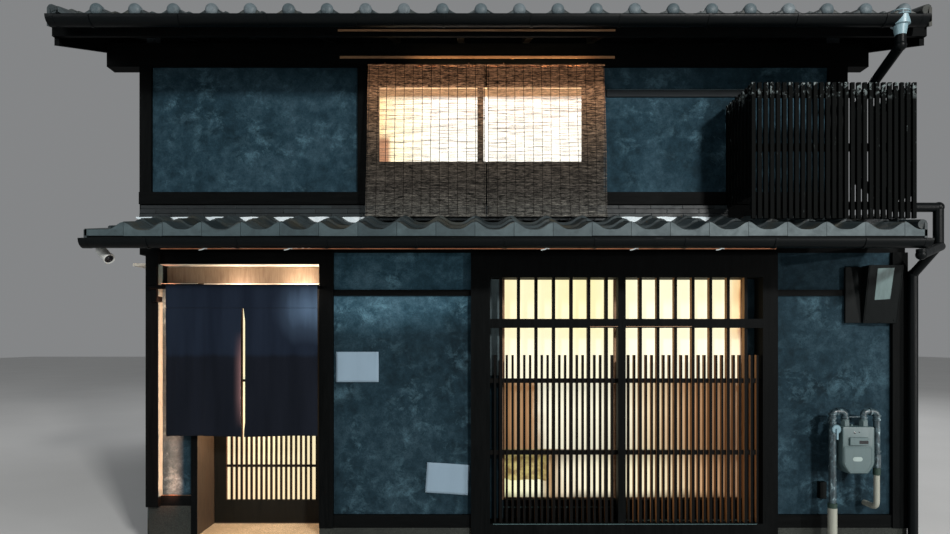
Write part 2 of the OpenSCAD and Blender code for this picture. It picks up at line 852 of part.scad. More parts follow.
// One flat panel of upright slats on cross battens
module slat_panel(length, height, slats) {
    for (i = [0 : slats - 1])
        translate([i * (length - slat_w) / (slats - 1), 0, 0])
            cube([slat_w, 18, height]);
    for (z = [60, height / 2, height - 90])
        translate([0, 17, z])
            cube([length, 16, 50]);
}

module slat_screen() {
    front_y = -screen_reach;
    batten_back = 60;
    foot = lower_tile_under(front_y + batten_back) + tile_t + roll_top;
    height = screen_top - foot;
    side_len = screen_reach + upper_post_front - 50;
    side_slats = 8;
    side_lift = 150;
    color([0.12, 0.12, 0.11]) place() {
        translate([screen_x, front_y, foot]) slat_panel(screen_w, height, screen_slats);
        translate([screen_x, front_y + 40 + side_len, foot + side_lift])
            rotate([0, 0, -90])
                slat_panel(side_len, height - side_lift, side_slats);
        translate([screen_x + screen_w, front_y + 40, foot + side_lift])
            rotate([0, 0, 90])
                slat_panel(side_len, height - side_lift, side_slats);
    }
}

module upper_walls() {
    y = [upper_setback, upper_wall_back];
    z = [upper_sill_top, upper_wall_top];
    color(plaster_c) place() {
        block([upper_wall_left_x, post_b_x], y, z);
        block([upper_wall_right_x, post_d_x], y, z);
    }
}

module upper_window_frame() {
    middle = upper_window_x + upper_window_w / 2;
    color(timber_c) place()
        difference() {
            block([upper_window_x, post_c_x], [upper_setback, upper_wall_back],
                [upper_sill_top, upper_wall_top]);
            for (x = [[upper_window_x + upper_pane_side, middle - upper_pane_mid / 2],
                      [middle + upper_pane_mid / 2, post_c_x - upper_pane_side]])
                block(x, [upper_setback - 1, upper_wall_back + 1], upper_pane_z);
        }
}

module upper_window_glass() {
    middle = upper_window_x + upper_window_w / 2;
    color(warm_c) place()
        for (x = [[upper_window_x + upper_pane_side, middle - upper_pane_mid / 2],
                  [middle + upper_pane_mid / 2, post_c_x - upper_pane_side]])
            block(x, [upper_setback + 30, upper_setback + 36], upper_pane_z);
}

// Reed blind hanging from two hooks, leaning out to rest on the tiles
module reed_blind(x) {
    top_y = 30;
    foot_y = -85;
    foot_z = lower_tile_under(foot_y + blind_t) + tile_t + roll_top;
    hook_inset = 120;
    color([0.42, 0.32, 0.22]) place() {
        profile([
            [foot_y, foot_z],
            [foot_y + blind_t, foot_z],
            [top_y + blind_t, blind_top],
            [top_y, blind_top]
        ], x);
        for (hook_x = [x[0] + hook_inset, x[1] - hook_inset])
            block([hook_x - 5, hook_x + 5], [top_y, upper_post_front], [blind_top - eps, blind_top + 12]);
    }
}

module reed_blind_left() {
    reed_blind([blind_left, blind_left + blind_w]);
}

module reed_blind_right() {
    x0 = blind_left + blind_w + blind_gap;
    reed_blind([x0, x0 + blind_w]);
}

// Stepped slope of the main roof from the front eave to the ridge, with its rolls
module roof_slope() {
    lip = 28;
    knob_r = 37;
    knob_lift = 33;
    knob_t = 32;
    knob_past = 8;
    roll_end = ridge_y - ridge_half - 12;
    verge_roll_end = ridge_y - ridge_end_half - 12;
    profile(concat(
        [
            [ridge_y, main_under(ridge_y) + rafter_h],
            [main_tip + lip, main_under(main_tip + lip) + rafter_h],
            [main_tip + lip, main_under(main_tip + lip) + tile_gap],
            [main_tip, main_under(main_tip) + tile_gap]
        ],
        step_points(main_tip, main_course, main_courses, main_slope, main_under(main_tip), tile_body)
    ), [main_left, main_right]);
    for (x = roll_places([main_left, main_right], main_first_roll)) {
        at_verge = x < main_left + 2 * roll_r || x > main_right - 2 * roll_r;
        end_y = at_verge ? verge_roll_end : roll_end;
        pipe_run([
            [x, main_tip + 6, main_under(main_tip + 6) + tile_body + roll_lift],
            [x, end_y, main_under(end_y) + tile_body + roll_lift]
        ], roll_r);
    }
    for (x = [main_left + main_first_roll : tile_pitch : main_right - 3 * roll_r])
        translate([x, main_tip + knob_t - knob_past, main_under(main_tip) + tile_body + knob_lift])
            rotate([90, 0, 0])
                cylinder(r = knob_r, h = knob_t);
}

module main_roof_front() {
    color(tile_c) place() roof_slope();
}

module main_roof_rear() {
    color(tile_c) place() rear_side() roof_slope();
}

// Ridge of stepped layers under a round cap, closed by a shaped tile at each end
module roof_ridge() {
    layers = 4;
    layer_h = 35;
    layer_step = 14;
    cap_r = 72;
    end_t = 50;
    base = main_under(ridge_y - ridge_half) + tile_body + tile_step + seat;
    apex = main_under(ridge_y) + tile_body + tile_step + seat;
    z0 = apex + 10;
    x = [main_left + 20 + end_t, main_right - 20 - end_t];
    color(tile_c) place() {
        profile([
            [ridge_y - ridge_half, base],
            [ridge_y, apex],
            [ridge_y + ridge_half, base],
            [ridge_y + ridge_half, z0],
            [ridge_y - ridge_half, z0]
        ], x);
        for (i = [0 : layers - 1])
            block(x, [ridge_y - ridge_half + layer_step * i, ridge_y + ridge_half - layer_step * i],
                [z0 - eps + layer_h * i, z0 + layer_h * (i + 1)]);
        translate([x[0], ridge_y, z0 + layers * layer_h])
            rotate([0, 90, 0])
                cylinder(r = cap_r, h = x[1] - x[0]);
        for (end_x = [x[0] - end_t, x[1]])
            ridge_end([end_x, end_x + end_t + eps], z0, base, apex);
    }
}

// Ridge-end tile with shoulders, horns and a round boss
module ridge_end(x, z0, base, apex) {
    boss_r = 45;
    foot_half = ridge_half + 20;
    profile([
        [ridge_y - foot_half, base],
        [ridge_y, apex],
        [ridge_y + foot_half, base],
        [ridge_y + ridge_end_half, z0 + 40],
        [ridge_y + 140, z0 + 120],
        [ridge_y + 112, z0 + 250],
        [ridge_y + 60, z0 + 262],
        [ridge_y, z0 + 290],
        [ridge_y - 60, z0 + 262],
        [ridge_y - 112, z0 + 250],
        [ridge_y - 140, z0 + 120],
        [ridge_y - ridge_end_half, z0 + 40]
    ], x);
    translate([x[0] - 12, ridge_y, z0 + 130])
        rotate([0, 90, 0])
            cylinder(r = boss_r, h = x[1] - x[0] + 24);
}

// Comb of rafters with the eave board and the filler over the wall
module rafter_comb() {
    tip = main_tip + 40;
    top_y = ridge_y - 60 - seat;
    top = rafter_h - seat;
    n = floor((inner_right - inner_left - 400) / rafter_pitch);
    first = (inner_left + inner_right) / 2 - n * rafter_pitch / 2;
    for (i = [0 : n])
        profile([
            [tip, main_under(tip)],
            [top_y, main_under(top_y)],
            [top_y, main_under(top_y) + top],
            [tip, main_under(tip) + top]
        ], [first + i * rafter_pitch - rafter_w / 2, first + i * rafter_pitch + rafter_w / 2]);
    profile([
        [tip - 10, main_under(tip) - 8],
        [tip + 14, main_under(tip) - 8],
        [tip + 14, main_under(tip + 14) + top],
        [tip - 10, main_under(tip - 10) + top]
    ], [main_left + 12, main_right - 12]);
    profile([
        [upper_setback, main_under(upper_setback) + seat],
        [upper_setback + 24, main_under(upper_setback + 24) + seat],
        [upper_setback + 24, main_under(upper_setback + 24) + top],
        [upper_setback, main_under(upper_setback) + top]
    ], [inner_left, inner_right]);
}

module rafters() {
    color(timber_c) place() {
        rafter_comb();
        rear_side() rafter_comb();
    }
}

// Sloping boards under the roof's left and right edges
module verge_slope() {
    start = main_tip + 54 + seat;
    end = ridge_y - seat;
    drop = 62;
    for (x = [main_left + 12, main_right - 42])
        profile([
            [start, main_under(start) - drop],
            [end, main_under(end) - drop],
            [end, main_under(end) + rafter_h - seat],
            [start, main_under(start) + rafter_h - seat]
        ], [x, x + 30]);
}

module verge_boards() {
    color(timber_c) place() {
        verge_slope();
        rear_side() verge_slope();
    }
}

// Meter with a chamfered foot, a raised cover and two unions on top
module gas_meter() {
    back_y = -75;
    cover = 12;
    z = [meter_z + 150, meter_z + meter_h - 40];
    color([0.85, 0.85, 0.82]) place() {
        translate([meter_x, back_y, meter_z])
            rotate([90, 0, 0])
                linear_extrude(meter_d - cover)
                    polygon([[35, 0], [meter_w - 35, 0], [meter_w, 50], [meter_w, meter_h],
                             [0, meter_h], [0, 50]]);
        block([meter_x + 28, meter_x + meter_w - 28], [back_y - meter_d, back_y - meter_d + cover + eps], z);
    }
}

// Riser with its cock, the bar over the meter and the outlet into the wall
module gas_pipes() {
    y = -gas_out;
    bar_z = meter_z + meter_h + 96;
    meter_top = meter_z + meter_h + seat;
    middle = meter_x + meter_w / 2;
    riser_x = meter_x - 40;
    outlet_x = meter_x + meter_w + 45;
    outlet_z = meter_z - 238;
    sleeve_top = meter_z - 207;
    cock_z = meter_z + meter_h - 18;
    union_h = 34;
    tie_r = 5;
    color([0.75, 0.76, 0.74]) place() {
        pipe_run([[riser_x, y, 0], [riser_x, y, bar_z], [middle - port_half, y, bar_z],
                  [middle - port_half, y, meter_top]], gas_r);
        translate([riser_x, y, 0]) cylinder(r = sleeve_r, h = sleeve_top);
        translate([riser_x, y, 0]) cylinder(r = riser_r, h = cock_z);
        pipe_run([[middle + port_half, y, meter_top], [middle + port_half, y, bar_z],
                  [outlet_x, y, bar_z], [outlet_x, y, meter_z - 20]], gas_r);
        pipe_run([[outlet_x, y, meter_z], [outlet_x, y, outlet_z], [outlet_x, -seat, outlet_z]], outlet_r);
        for (x = [middle - port_half, middle + port_half])
            translate([x, y, meter_top]) cylinder(r = gas_r * 1.3, h = union_h, $fn = 6);
        translate([middle - port_half, y, bar_z - 36])
            rotate([0, 90, 0])
                cylinder(r = tie_r, h = 2 * port_half);
        translate([outlet_x, y, meter_z + 20]) cylinder(r = gas_r * 1.25, h = 96);
        translate([riser_x + 6, y, cock_z])
            rotate([90, 0, 0])
                cylinder(r = 31, h = 44);
        block([riser_x - 2, riser_x + 14], [y - 54, y - 44 + eps], [cock_z - 70, cock_z + 8]);
    }
}

// Meter box over the end post on its board, and a small box low on the wall
module electric_boxes() {
    box_x = end_post_x - meter_box_w;
    top_z = meter_box_z + meter_box_h;
    back_y = -post_proud - seat;
    small_x = end_post_x - 508;
    small_z = meter_box_z - 1210;
    color([0.1, 0.11, 0.11]) place() {
        profile([
            [-meter_box_foot_d, meter_box_z],
            [back_y, meter_box_z],
            [back_y, top_z],
            [-meter_box_d, top_z]
        ], [box_x, box_x + meter_box_w + 22]);
        block([box_x + 20, end_post_x - seat], [back_y - eps, -15 - seat], [meter_box_z + 10, top_z - 10]);
        block([small_x, small_x + 48], [-40, -seat], [small_z, small_z + 117]);
    }
}

// Small round camera that looks down at the entrance, on an arm under the eave
module security_camera() {
    back = [front_left - 60, -440, 2064];
    aim = [0.45, -0.62, -0.64];
    body_r = 31;
    body_l = 110;
    ring_l = 16;
    arm_r = 9;
    arm_top = lower_under(back[1] - arm_r) + lower_rafter_h - seat;
    color([0.9, 0.9, 0.88]) place() {
        translate(back)
            rotate([0, acos(aim[2]), atan2(aim[1], aim[0])]) {
                cylinder(r = body_r, h = body_l);
                sphere(r = body_r * 1.12);
                translate([0, 0, body_l - ring_l]) cylinder(r = body_r + 3, h = ring_l + 4);
            }
        translate(back) cylinder(r = arm_r, h = arm_top - back[2]);
        translate([back[0], back[1], arm_top - 22]) cylinder(r = body_r - 3, h = 8);
    }
}

// Two blank sheets of paper, the second hung a little askew
module notices() {
    paper_t = 1;
    askew = 3.8;
    color([0.95, 0.95, 0.93]) place() {
        block([middle_x + 14, middle_x + 14 + paper_w], [-paper_t, 0], [paper_z, paper_z + paper_h]);
        translate([stile_left_x - 163, 0, paper_low_z])
            rotate([0, askew, 0])
                translate([-paper_w / 2, -paper_t, -paper_h / 2])
                    cube([paper_w, paper_t, paper_h]);
    }
}

// Rear posts with the rails and middle bars of the rear windows
module rear_posts() {
    h = rear_window_w / 2;
    post = 100;
    rail = 45;
    y = [rear_in + 20, rear_y];
    color(timber_c) place() {
        for (x = [inner_left, rear_middle - h - post, rear_middle + h, inner_right - post])
            block([x, x + post], [rear_in, rear_y + 20], [sill_top, upper_wall_top]);
        for (z = [rear_low, rear_high]) {
            block([rear_middle - h, rear_middle + h], y, [z[0], z[0] + rail]);
            block([rear_middle - h, rear_middle + h], y, [z[1] - rail, z[1]]);
            block([rear_middle - rail / 2, rear_middle + rail / 2], y, [z[0] + rail, z[1] - rail]);
        }
    }
}

module rear_walls() {
    h = rear_window_w / 2;
    post = 100;
    y = [rear_in + 10, rear_y - 10];
    color(plaster_c) place() {
        block([inner_left + post, rear_middle - h - post], y, [sill_top, upper_wall_top]);
        block([rear_middle + h + post, inner_right - post], y, [sill_top, upper_wall_top]);
        block([rear_middle - h, rear_middle + h], y, [sill_top, rear_low[0]]);
        block([rear_middle - h, rear_middle + h], y, [rear_low[1], rear_high[0]]);
        block([rear_middle - h, rear_middle + h], y, [rear_high[1], upper_wall_top]);
    }
}

module rear_glass() {
    h = rear_window_w / 2;
    rail = 45;
    y = [rear_y - 50, rear_y - 44];
    color(warm_c) place()
        for (z = [rear_low, rear_high]) {
            block([rear_middle - h, rear_middle - rail / 2 - seat], y, [z[0] + rail + seat, z[1] - rail - seat]);
            block([rear_middle + rail / 2 + seat, rear_middle + h], y, [z[0] + rail + seat, z[1] - rail - seat]);
        }
}

foundation_stones();
ground_floor();
upper_floor();
party_wall_left();
party_wall_right();
front_posts();
upper_posts();
sill_beams();
front_beams();
roof_beams();
front_walls();
porch_ceiling();
porch_inner_walls();
entrance_door();
door_glass();
noren_rod();
noren();
window_frame();
lattice_left();
lattice_right();
window_glass();
lower_rafters();
lower_roof();
noshi_band();
gutters();
downpipes();
slat_screen();
upper_walls();
upper_window_frame();
upper_window_glass();
reed_blind_left();
reed_blind_right();
main_roof_front();
main_roof_rear();
roof_ridge();
rafters();
verge_boards();
gas_meter();
gas_pipes();
electric_boxes();
security_camera();
notices();
rear_posts();
rear_walls();
rear_glass();
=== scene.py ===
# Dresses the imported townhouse: tiles, reeds, cloth, fittings, and a material for every surface.
# Everything is in metres in the row frame: X along the street, Y into the house, Z up.
import random
from functools import partialmethod
from math import cos, exp, hypot, pi, radians, sin, tau

import bmesh
import bpy
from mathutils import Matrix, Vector


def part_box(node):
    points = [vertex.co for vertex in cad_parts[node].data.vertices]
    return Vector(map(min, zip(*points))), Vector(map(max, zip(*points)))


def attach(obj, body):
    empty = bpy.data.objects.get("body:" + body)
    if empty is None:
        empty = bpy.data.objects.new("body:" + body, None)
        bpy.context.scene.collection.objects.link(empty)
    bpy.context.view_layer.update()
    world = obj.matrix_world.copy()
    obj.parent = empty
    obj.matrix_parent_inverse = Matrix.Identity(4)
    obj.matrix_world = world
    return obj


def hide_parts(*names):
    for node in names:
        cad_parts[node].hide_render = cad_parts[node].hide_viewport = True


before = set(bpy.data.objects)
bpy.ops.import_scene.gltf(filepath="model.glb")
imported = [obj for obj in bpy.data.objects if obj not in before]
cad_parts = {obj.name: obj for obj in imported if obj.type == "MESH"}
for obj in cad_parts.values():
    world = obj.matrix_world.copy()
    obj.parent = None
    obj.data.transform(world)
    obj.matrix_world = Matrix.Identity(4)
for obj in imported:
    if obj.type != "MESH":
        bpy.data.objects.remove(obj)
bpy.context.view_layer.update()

random.seed(7)

# Places and sizes that the pieces share, worked out from the frame where it gives them

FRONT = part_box("front_walls")[0].y
UPPER_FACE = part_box("upper_walls")[0].y
EAVE_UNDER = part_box("upper_walls")[1].z + 0.173
RIDGE_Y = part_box("roof_ridge")[0].y + 0.176
MAIN_LO, MAIN_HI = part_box("main_roof_front")
MAIN_TIP = MAIN_LO.y + 0.008
MAIN_SLOPE = 0.367
MAIN_ROLL = MAIN_LO.x + 0.307
LOWER_LO, LOWER_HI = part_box("lower_roof")
LOWER_SLOPE = 0.285
LOWER_ROLL = LOWER_LO.x + 0.244
PITCH = 0.24
TILE_T = 0.029
TILE_STEP = 0.022
TILE_WALL = 0.016
TILE_BODY = 0.09 + TILE_T
TILE_TOP = TILE_BODY + TILE_STEP
PAN_DEPTH = 0.028
BLIND_TOP, BLIND_FOOT = FRONT + 0.034, FRONT - 0.081
REED_PITCH, THREAD_GAP = 0.0052, 0.066
PIPE_Y = FRONT - 0.14
BAY_END = 1.722
POST_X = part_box("front_posts")[0].x


def main_under(y):
    """Underside of the main rafters at depth y on the front slope."""
    return EAVE_UNDER + MAIN_SLOPE * (y - UPPER_FACE)


def lower_under(y):
    """Underside of the lower roof's tiles at depth y."""
    return LOWER_LO.z + LOWER_SLOPE * (y - LOWER_LO.y)


def jitter(size):
    """A small random length either way."""
    return random.uniform(-size, size)


def spread(start, end, inset, steps):
    """Even places from start to end, drawn in by an inset at both."""
    return [start + inset + (end - start - 2 * inset) * i / steps for i in range(steps + 1)]


def shares(steps, whole=1):
    """Even steps from 0 to a whole."""
    return [whole * k / steps for k in range(steps + 1)]


def put(name, data):
    """A new object in the scene."""
    made = bpy.data.objects.new(name, data)
    bpy.context.scene.collection.objects.link(made)
    return made


def round_edges(piece, width, angle=radians(30)):
    """Bevels the edges that are sharper than an angle."""
    edge = piece.modifiers.new("edges", "BEVEL")
    edge.width, edge.segments, edge.limit_method, edge.angle_limit = width, 2, "ANGLE", angle


# Materials


class Wire:
    """A node's output, for sums with numbers and other outputs."""

    def __init__(self, paint, socket):
        self.paint, self.socket = paint, socket

    def maths(self, operation, other=0):
        """One sum."""
        return self.paint.node("Math", self, other, operation=operation)

    __add__ = partialmethod(maths, "ADD")
    __sub__ = partialmethod(maths, "SUBTRACT")
    __mul__ = partialmethod(maths, "MULTIPLY")
    __truediv__ = partialmethod(maths, "DIVIDE")
    __gt__ = partialmethod(maths, "GREATER_THAN")
    __lt__ = partialmethod(maths, "LESS_THAN")
    __abs__ = partialmethod(maths, "ABSOLUTE")

    def tinted(self, other):
        """This colour times another."""
        return self.paint.mix(1, self, other, "MULTIPLY")


class Paint:
    """One Principled material out of a few procedural layers."""

    def __init__(self, name, roughness, specular, metallic=0):
        self.material = bpy.data.materials.new(name)
        self.material.use_nodes = True
        self.tree = self.material.node_tree
        self.place = self.node("TexCoord", out="Object")
        self.set(Roughness=roughness, Specular_IOR_Level=specular, Metallic=metallic)

    def node(self, kind, *values, out=0, **named):
        """A node's output; values feed its first inputs, and names with a capital are inputs too."""
        made = self.tree.nodes.new("ShaderNode" + kind)
        for key, value in named.items():
            if key[0].isupper():
                self.feed(made.inputs[key], value)
            else:
                setattr(made, key, value)
        for socket, value in zip(made.inputs, values):
            self.feed(socket, value)
        return Wire(self, made.outputs[out])

    def feed(self, socket, value):
        """Links an output to a socket, or sets the socket's value."""
        if isinstance(value, Wire):
            self.tree.links.new(value.socket, socket)
        else:
            socket.default_value = (*value, 1) if socket.type == "RGBA" else value

    def set(self, **values):
        """Feeds inputs of the surface."""
        for key, value in values.items():
            self.feed(self.tree.nodes["Principled BSDF"].inputs[key.replace("_", " ")], value)

    def along(self, axis):
        """Distance along X, Y or Z."""
        return self.node("SeparateXYZ", self.place, out=axis)

    def stretched(self, scale):
        """Object coordinates scaled along each axis."""
        return self.node("Mapping", Vector=self.place, Scale=scale)

    def noise(self, scale, detail=5, rough=0.55, warp=0, stretch=(1, 1, 1)):
        """Fractal noise from 0 to 1."""
        return self.node("TexNoise", Vector=self.stretched(stretch), Scale=scale, Detail=detail,
                         Roughness=rough, Distortion=warp)

    def wave(self, scale, direction, warp, detail=2):
        """Bands across one axis."""
        return self.node("TexWave", bands_direction=direction, Vector=self.stretched((1, 1, 1)), Scale=scale,
                         Distortion=warp, Detail=detail, out="Fac")

    def island(self):
        """A number from 0 to 1 for each loose part."""
        return self.node("NewGeometry", out="Random Per Island")

    def span(self, value, start, end, low=0, high=1):
        """Lays start to end of a value on low to high."""
        return self.node("MapRange", value, start, end, low, high)

    def ramp(self, value, *stops):
        """Colours or tones along a value; each stop is (place, colour)."""
        made = self.node("ValToRGB", value)
        points = made.socket.node.color_ramp.elements
        while len(points) < len(stops):
            points.new(0.5)
        for point, (place, colour) in zip(points, stops):
            point.position = place
            point.color = (*colour, 1) if hasattr(colour, "__len__") else (colour, colour, colour, 1)
        return made

    def fade(self, value, start, end, most=1):
        """A tone that rises from 0 at the start to its most at the end."""
        return self.ramp(value, (start, 0), (end, most))

    def mix(self, share, a, b, blend="MIX"):
        """Two colours mixed."""
        made = self.tree.nodes.new("ShaderNodeMix")
        made.data_type, made.blend_type = "RGBA", blend
        for index, value in ((0, share), (6, a), (7, b)):
            self.feed(made.inputs[index], value)
        return Wire(self, made.outputs[2])

    def shining(self, colour, strength):
        """The material of a frosted pane that is lit from behind."""
        self.set(Base_Color=(0.3, 0.24, 0.16), Emission_Color=colour, Emission_Strength=strength)
        return self.material

    def done(self, colour, rough, *layers):
        """The material; rough is (value, low, high), and a layer of bump (value, distance, strength)."""
        self.set(Base_Color=colour)
        if rough:
            self.set(Roughness=self.span(rough[0], 0, 1, *rough[1:]))
        below = {}
        for value, distance, strength in layers:
            below["Normal"] = self.node("Bump", Height=value, Distance=distance, Strength=strength, **below)
        self.set(**below)
        return self.material


def plaster_paint(name, dark, mid, pale, vein, lit_above=None):
    """Trowelled plaster; given a height, the left of the wall is painted lighter above it, as painted light.
    """
    p = Paint(name, 0.8, 0.1)
    broad = p.noise(1.6, detail=3, rough=0.5, warp=0.3)
    clouds = p.noise(13, detail=11, rough=0.74, warp=0.15)
    base = p.ramp(broad * 0.4 + clouds * 0.6, (0.38, dark), (0.5, mid), (0.63, pale))
    marks = p.noise(9, detail=9, rough=0.74, warp=0.4, stretch=(0.85, 1, 1))
    patches = p.ramp(p.noise(2.7, detail=4), (0.43, 0.1), (0.6, 1))
    patchwork = p.mix(p.fade(marks, 0.5, 0.66, 0.85) * patches, base, vein)
    pits = p.noise(120, detail=4, rough=0.7)
    shown = p.mix(p.fade(pits, 0.46, 0.72, 0.6), patchwork, dark)
    if lit_above:
        # Painted light: on the left the plaster is painted 2.7 times lighter above the height.
        lit_share = p.span(p.along("Z") + broad * 0.3, lit_above, lit_above + 0.22)
        shown = p.mix(lit_share * (p.along("X") < 0), shown, shown.tinted((2.7, 2.7, 2.7)))
    return p.done(shown, (clouds, 0.7, 0.92), (clouds, 0.002, 0.5), (marks, 0.001, 0.5), (pits, 0.0006, 0.5))


def timber_paint(name, dark, pale, grain="Z", roughness=0.55, specular=0.12, wear=0.15, side=None):
    """Wood with its grain along one axis; side paints the faces along X in a lighter colour, as painted
    light.
    """
    p = Paint(name, roughness, specular)
    stretch = [1 if axis == grain else 14 for axis in "XYZ"]
    fibres = p.noise(9, detail=9, rough=0.7, warp=0.4, stretch=stretch)
    rings = p.noise(1.6, detail=4, rough=0.5, warp=2.0, stretch=stretch)
    tone = p.mix(0.5, p.ramp(fibres, (0.3, dark), (0.72, pale)), p.ramp(rings, (0.35, dark), (0.7, pale)))
    toned = tone.tinted(p.ramp(p.island(), (0, 0.82), (1, 1)))
    rubbed = p.fade(p.noise(3.1, detail=6, rough=0.7), 0.6, 0.8)
    shown = p.mix(rubbed * wear, toned, [min(c * 2.0 + 0.01, 1) for c in pale])
    if side:
        # Painted light: the faces along X take the side colour, as though lit by the glowing panes behind.
        across = abs(p.node("SeparateXYZ", p.node("NewGeometry", out="Normal"), out="X"))
        lit_sides = p.mix(p.fade(fibres, 0.3, 0.7), [c * 0.6 for c in side], side)
        shown = p.mix(p.fade(across, 0.5, 0.7), shown, lit_sides)
    return p.done(shown, (fibres, roughness - 0.1, roughness + 0.15), (fibres, 0.0012, 0.6))


def tile_paint(name, *tones, ochre=0):
    """Smoked clay tiles: each its own tone, with blotches and specks."""
    p = Paint(name, 0.5, 0.3)
    blotch = p.noise(14, detail=6, rough=0.65, warp=0.5)
    stained = p.mix(p.fade(blotch, 0.45, 0.75, 0.6), p.ramp(p.island(), *zip((0, 0.5, 1), tones)),
                    [c * 0.45 for c in tones[0]])
    bloom = p.fade(p.noise(5, detail=7, rough=0.7), 0.55, 0.8, 0.5)
    shown = p.mix(bloom, stained, [min(1, c * 1.5) for c in tones[-1]])
    if ochre:
        rust = p.fade(p.noise(3.7, detail=5, rough=0.6, warp=0.6), 0.52, 0.68, ochre)
        shown = p.mix(rust, shown, (0.058, 0.048, 0.026))
    return p.done(shown, (blotch, 0.35, 0.7), (blotch, 0.001, 0.5), (p.noise(160, detail=2), 0.0004, 0.5))


def stone_paint(name, dark, mid, speck=220):
    """Hammered stone or washed concrete with dark and pale specks."""
    p = Paint(name, 0.8, 0.3)
    base = p.ramp(p.noise(3, detail=6), (0.3, dark), (0.7, mid))
    tints, specks = (
        p.node("TexVoronoi", Vector=p.place, Scale=speck, out=out) for out in ("Color", "Distance"))
    shade = p.ramp(tints, (0.15, 0.45), (0.5, 0.95), (0.85, 1.5))
    return p.done(p.mix(0.85, base, base.tinted(shade)), None,
                  (specks, 0.0015, 0.6), (p.noise(18, detail=8, rough=0.7), 0.004, 0.5))


def metal_paint(name, colour, roughness=0.4, specular=0.5, metallic=0, dirt=0.3):
    """Metal, plastic or paper, with faint runs and dust."""
    p = Paint(name, roughness, specular, metallic)
    runs = p.noise(6, detail=7, rough=0.65, stretch=(6, 6, 0.7))
    shown = p.mix(p.fade(runs, 0.45, 0.75, dirt), colour, [c * 0.45 for c in colour])
    return p.done(shown, (runs, roughness - 0.08, roughness + 0.2), (p.noise(60, detail=3), 0.0004, 0.4))


def pipe_paint():
    """Grey pipe paint with pale patches, partly bare metal from wear and partly painted highlights."""
    p = Paint("pipe_paint", 0.3, 0.5)
    patchwork = p.noise(38, detail=7, rough=0.7, warp=0.5, stretch=(1, 1, 0.7))
    # Partly wear and partly painted highlight: the palest stop makes the bright patches on the pipes.
    shown = p.ramp(patchwork, (0.36, (0.008, 0.017, 0.022)), (0.5, (0.022, 0.04, 0.048)),
                   (0.6, (0.05, 0.085, 0.1)), (0.7, (0.34, 0.45, 0.48)))
    return p.done(shown, (patchwork, 0.25, 0.5), (patchwork, 0.0008, 0.6))


def glow_paint(name, low, high, strength, foot, top):
    """Frosted panes lit in one colour low down and another high up."""
    p = Paint(name, 0.5, 0.3)
    cloudy = (p.noise(2.4, detail=3, stretch=(1.6, 1, 0.6)) - 0.5) * 0.25
    return p.shining(p.ramp(p.span(p.along("Z"), foot, top) + cloudy, (0, low), (1, high)), strength)


def screen_paint():
    """Black slats with chips and flecks where the paint has come away."""
    p = Paint("screen_timber", 0.6, 0.03)
    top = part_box("slat_screen")[1].z
    fibres = p.noise(9, detail=9, rough=0.7, warp=0.4, stretch=(14, 14, 1))
    base = p.ramp(fibres, (0.3, (0.0005, 0.0008, 0.0008)), (0.72, (0.002, 0.0027, 0.0026)))
    chips = p.fade(p.noise(26, detail=5, rough=0.7), 0.54, 0.6)
    flecks = p.fade(p.noise(8, detail=8, rough=0.8, stretch=(5, 5, 1.2)), 0.64, 0.69, 0.8)
    patchwork = (chips * p.span(p.along("Z"), top - 0.11, top - 0.03)).maths("MAXIMUM", flecks)
    return p.done(p.mix(patchwork, base, (0.15, 0.18, 0.18)), (fibres, 0.5, 0.75), (fibres, 0.0012, 0.6))


def window_paint():
    """Panes of the lattice window, glowing as painted light: pale yellow above, the room's soft shapes below.
    """
    p = Paint("pane", 0.5, 0.3)
    z = p.along("Z")
    cloud = p.noise(3.0, detail=3, stretch=(1.6, 1, 0.5)) - 0.5
    across, height = p.along("X") / BAY_END + cloud * 0.2, z + cloud * 0.1
    top = p.ramp(across, (0, (1, 0.86, 0.5)), (0.12, (1, 0.92, 0.58)), (0.35, (0.99, 0.9, 0.48)),
                 (0.6, (1, 0.97, 0.7)), (0.9, (0.99, 0.92, 0.6)), (0.98, (0.9, 0.6, 0.28)),
                 (1, (0.5, 0.22, 0.08)))
    # Painted light: the top row turns whiter towards its foot.
    top = p.mix(p.span(z, 1.62, 1.35) * 0.7, top, (1, 0.97, 0.78))
    middle = p.ramp(across, (0, (0.3, 0.15, 0.06)), (0.14, (0.38, 0.19, 0.08)), (0.18, (1, 0.97, 0.76)),
                    (0.5, (1, 0.96, 0.74)), (0.6, (0.95, 0.78, 0.5)), (0.78, (0.5, 0.28, 0.14)),
                    (1, (0.12, 0.055, 0.025)))
    # Painted shade: the middle row dims towards its foot and its top.
    middle = middle.tinted(p.ramp(height / 2.0, (0.36, 0.75), (0.5, 1), (0.62, 0.7)))
    low = p.ramp(across, (0, (0.9, 0.9, 0.5)), (0.15, (0.95, 0.95, 0.7)), (0.22, (0.3, 0.15, 0.05)),
                 (0.3, (1, 0.93, 0.7)), (0.6, (1, 0.9, 0.6)), (0.8, (0.62, 0.38, 0.2)),
                 (1, (0.2, 0.1, 0.05)))
    patchy = p.ramp(p.noise(14, detail=3, stretch=(1, 1, 1.6)), (0.4, (0.5, 0.42, 0.14)),
                    (0.6, (0.2, 0.13, 0.04)))
    low = p.mix((across < 0.2) * (height > 0.5), low, patchy)
    # Painted shade: the lowest row dims towards its foot and its top.
    low = low.tinted(p.ramp(p.span(height, 0.367, 0.72), (0, 0.25), (0.16, 1), (0.6, 1), (0.98, 0.4)))
    return p.shining(p.mix(z < 0.72, p.mix(z > 1.218, middle, top), low), 1)


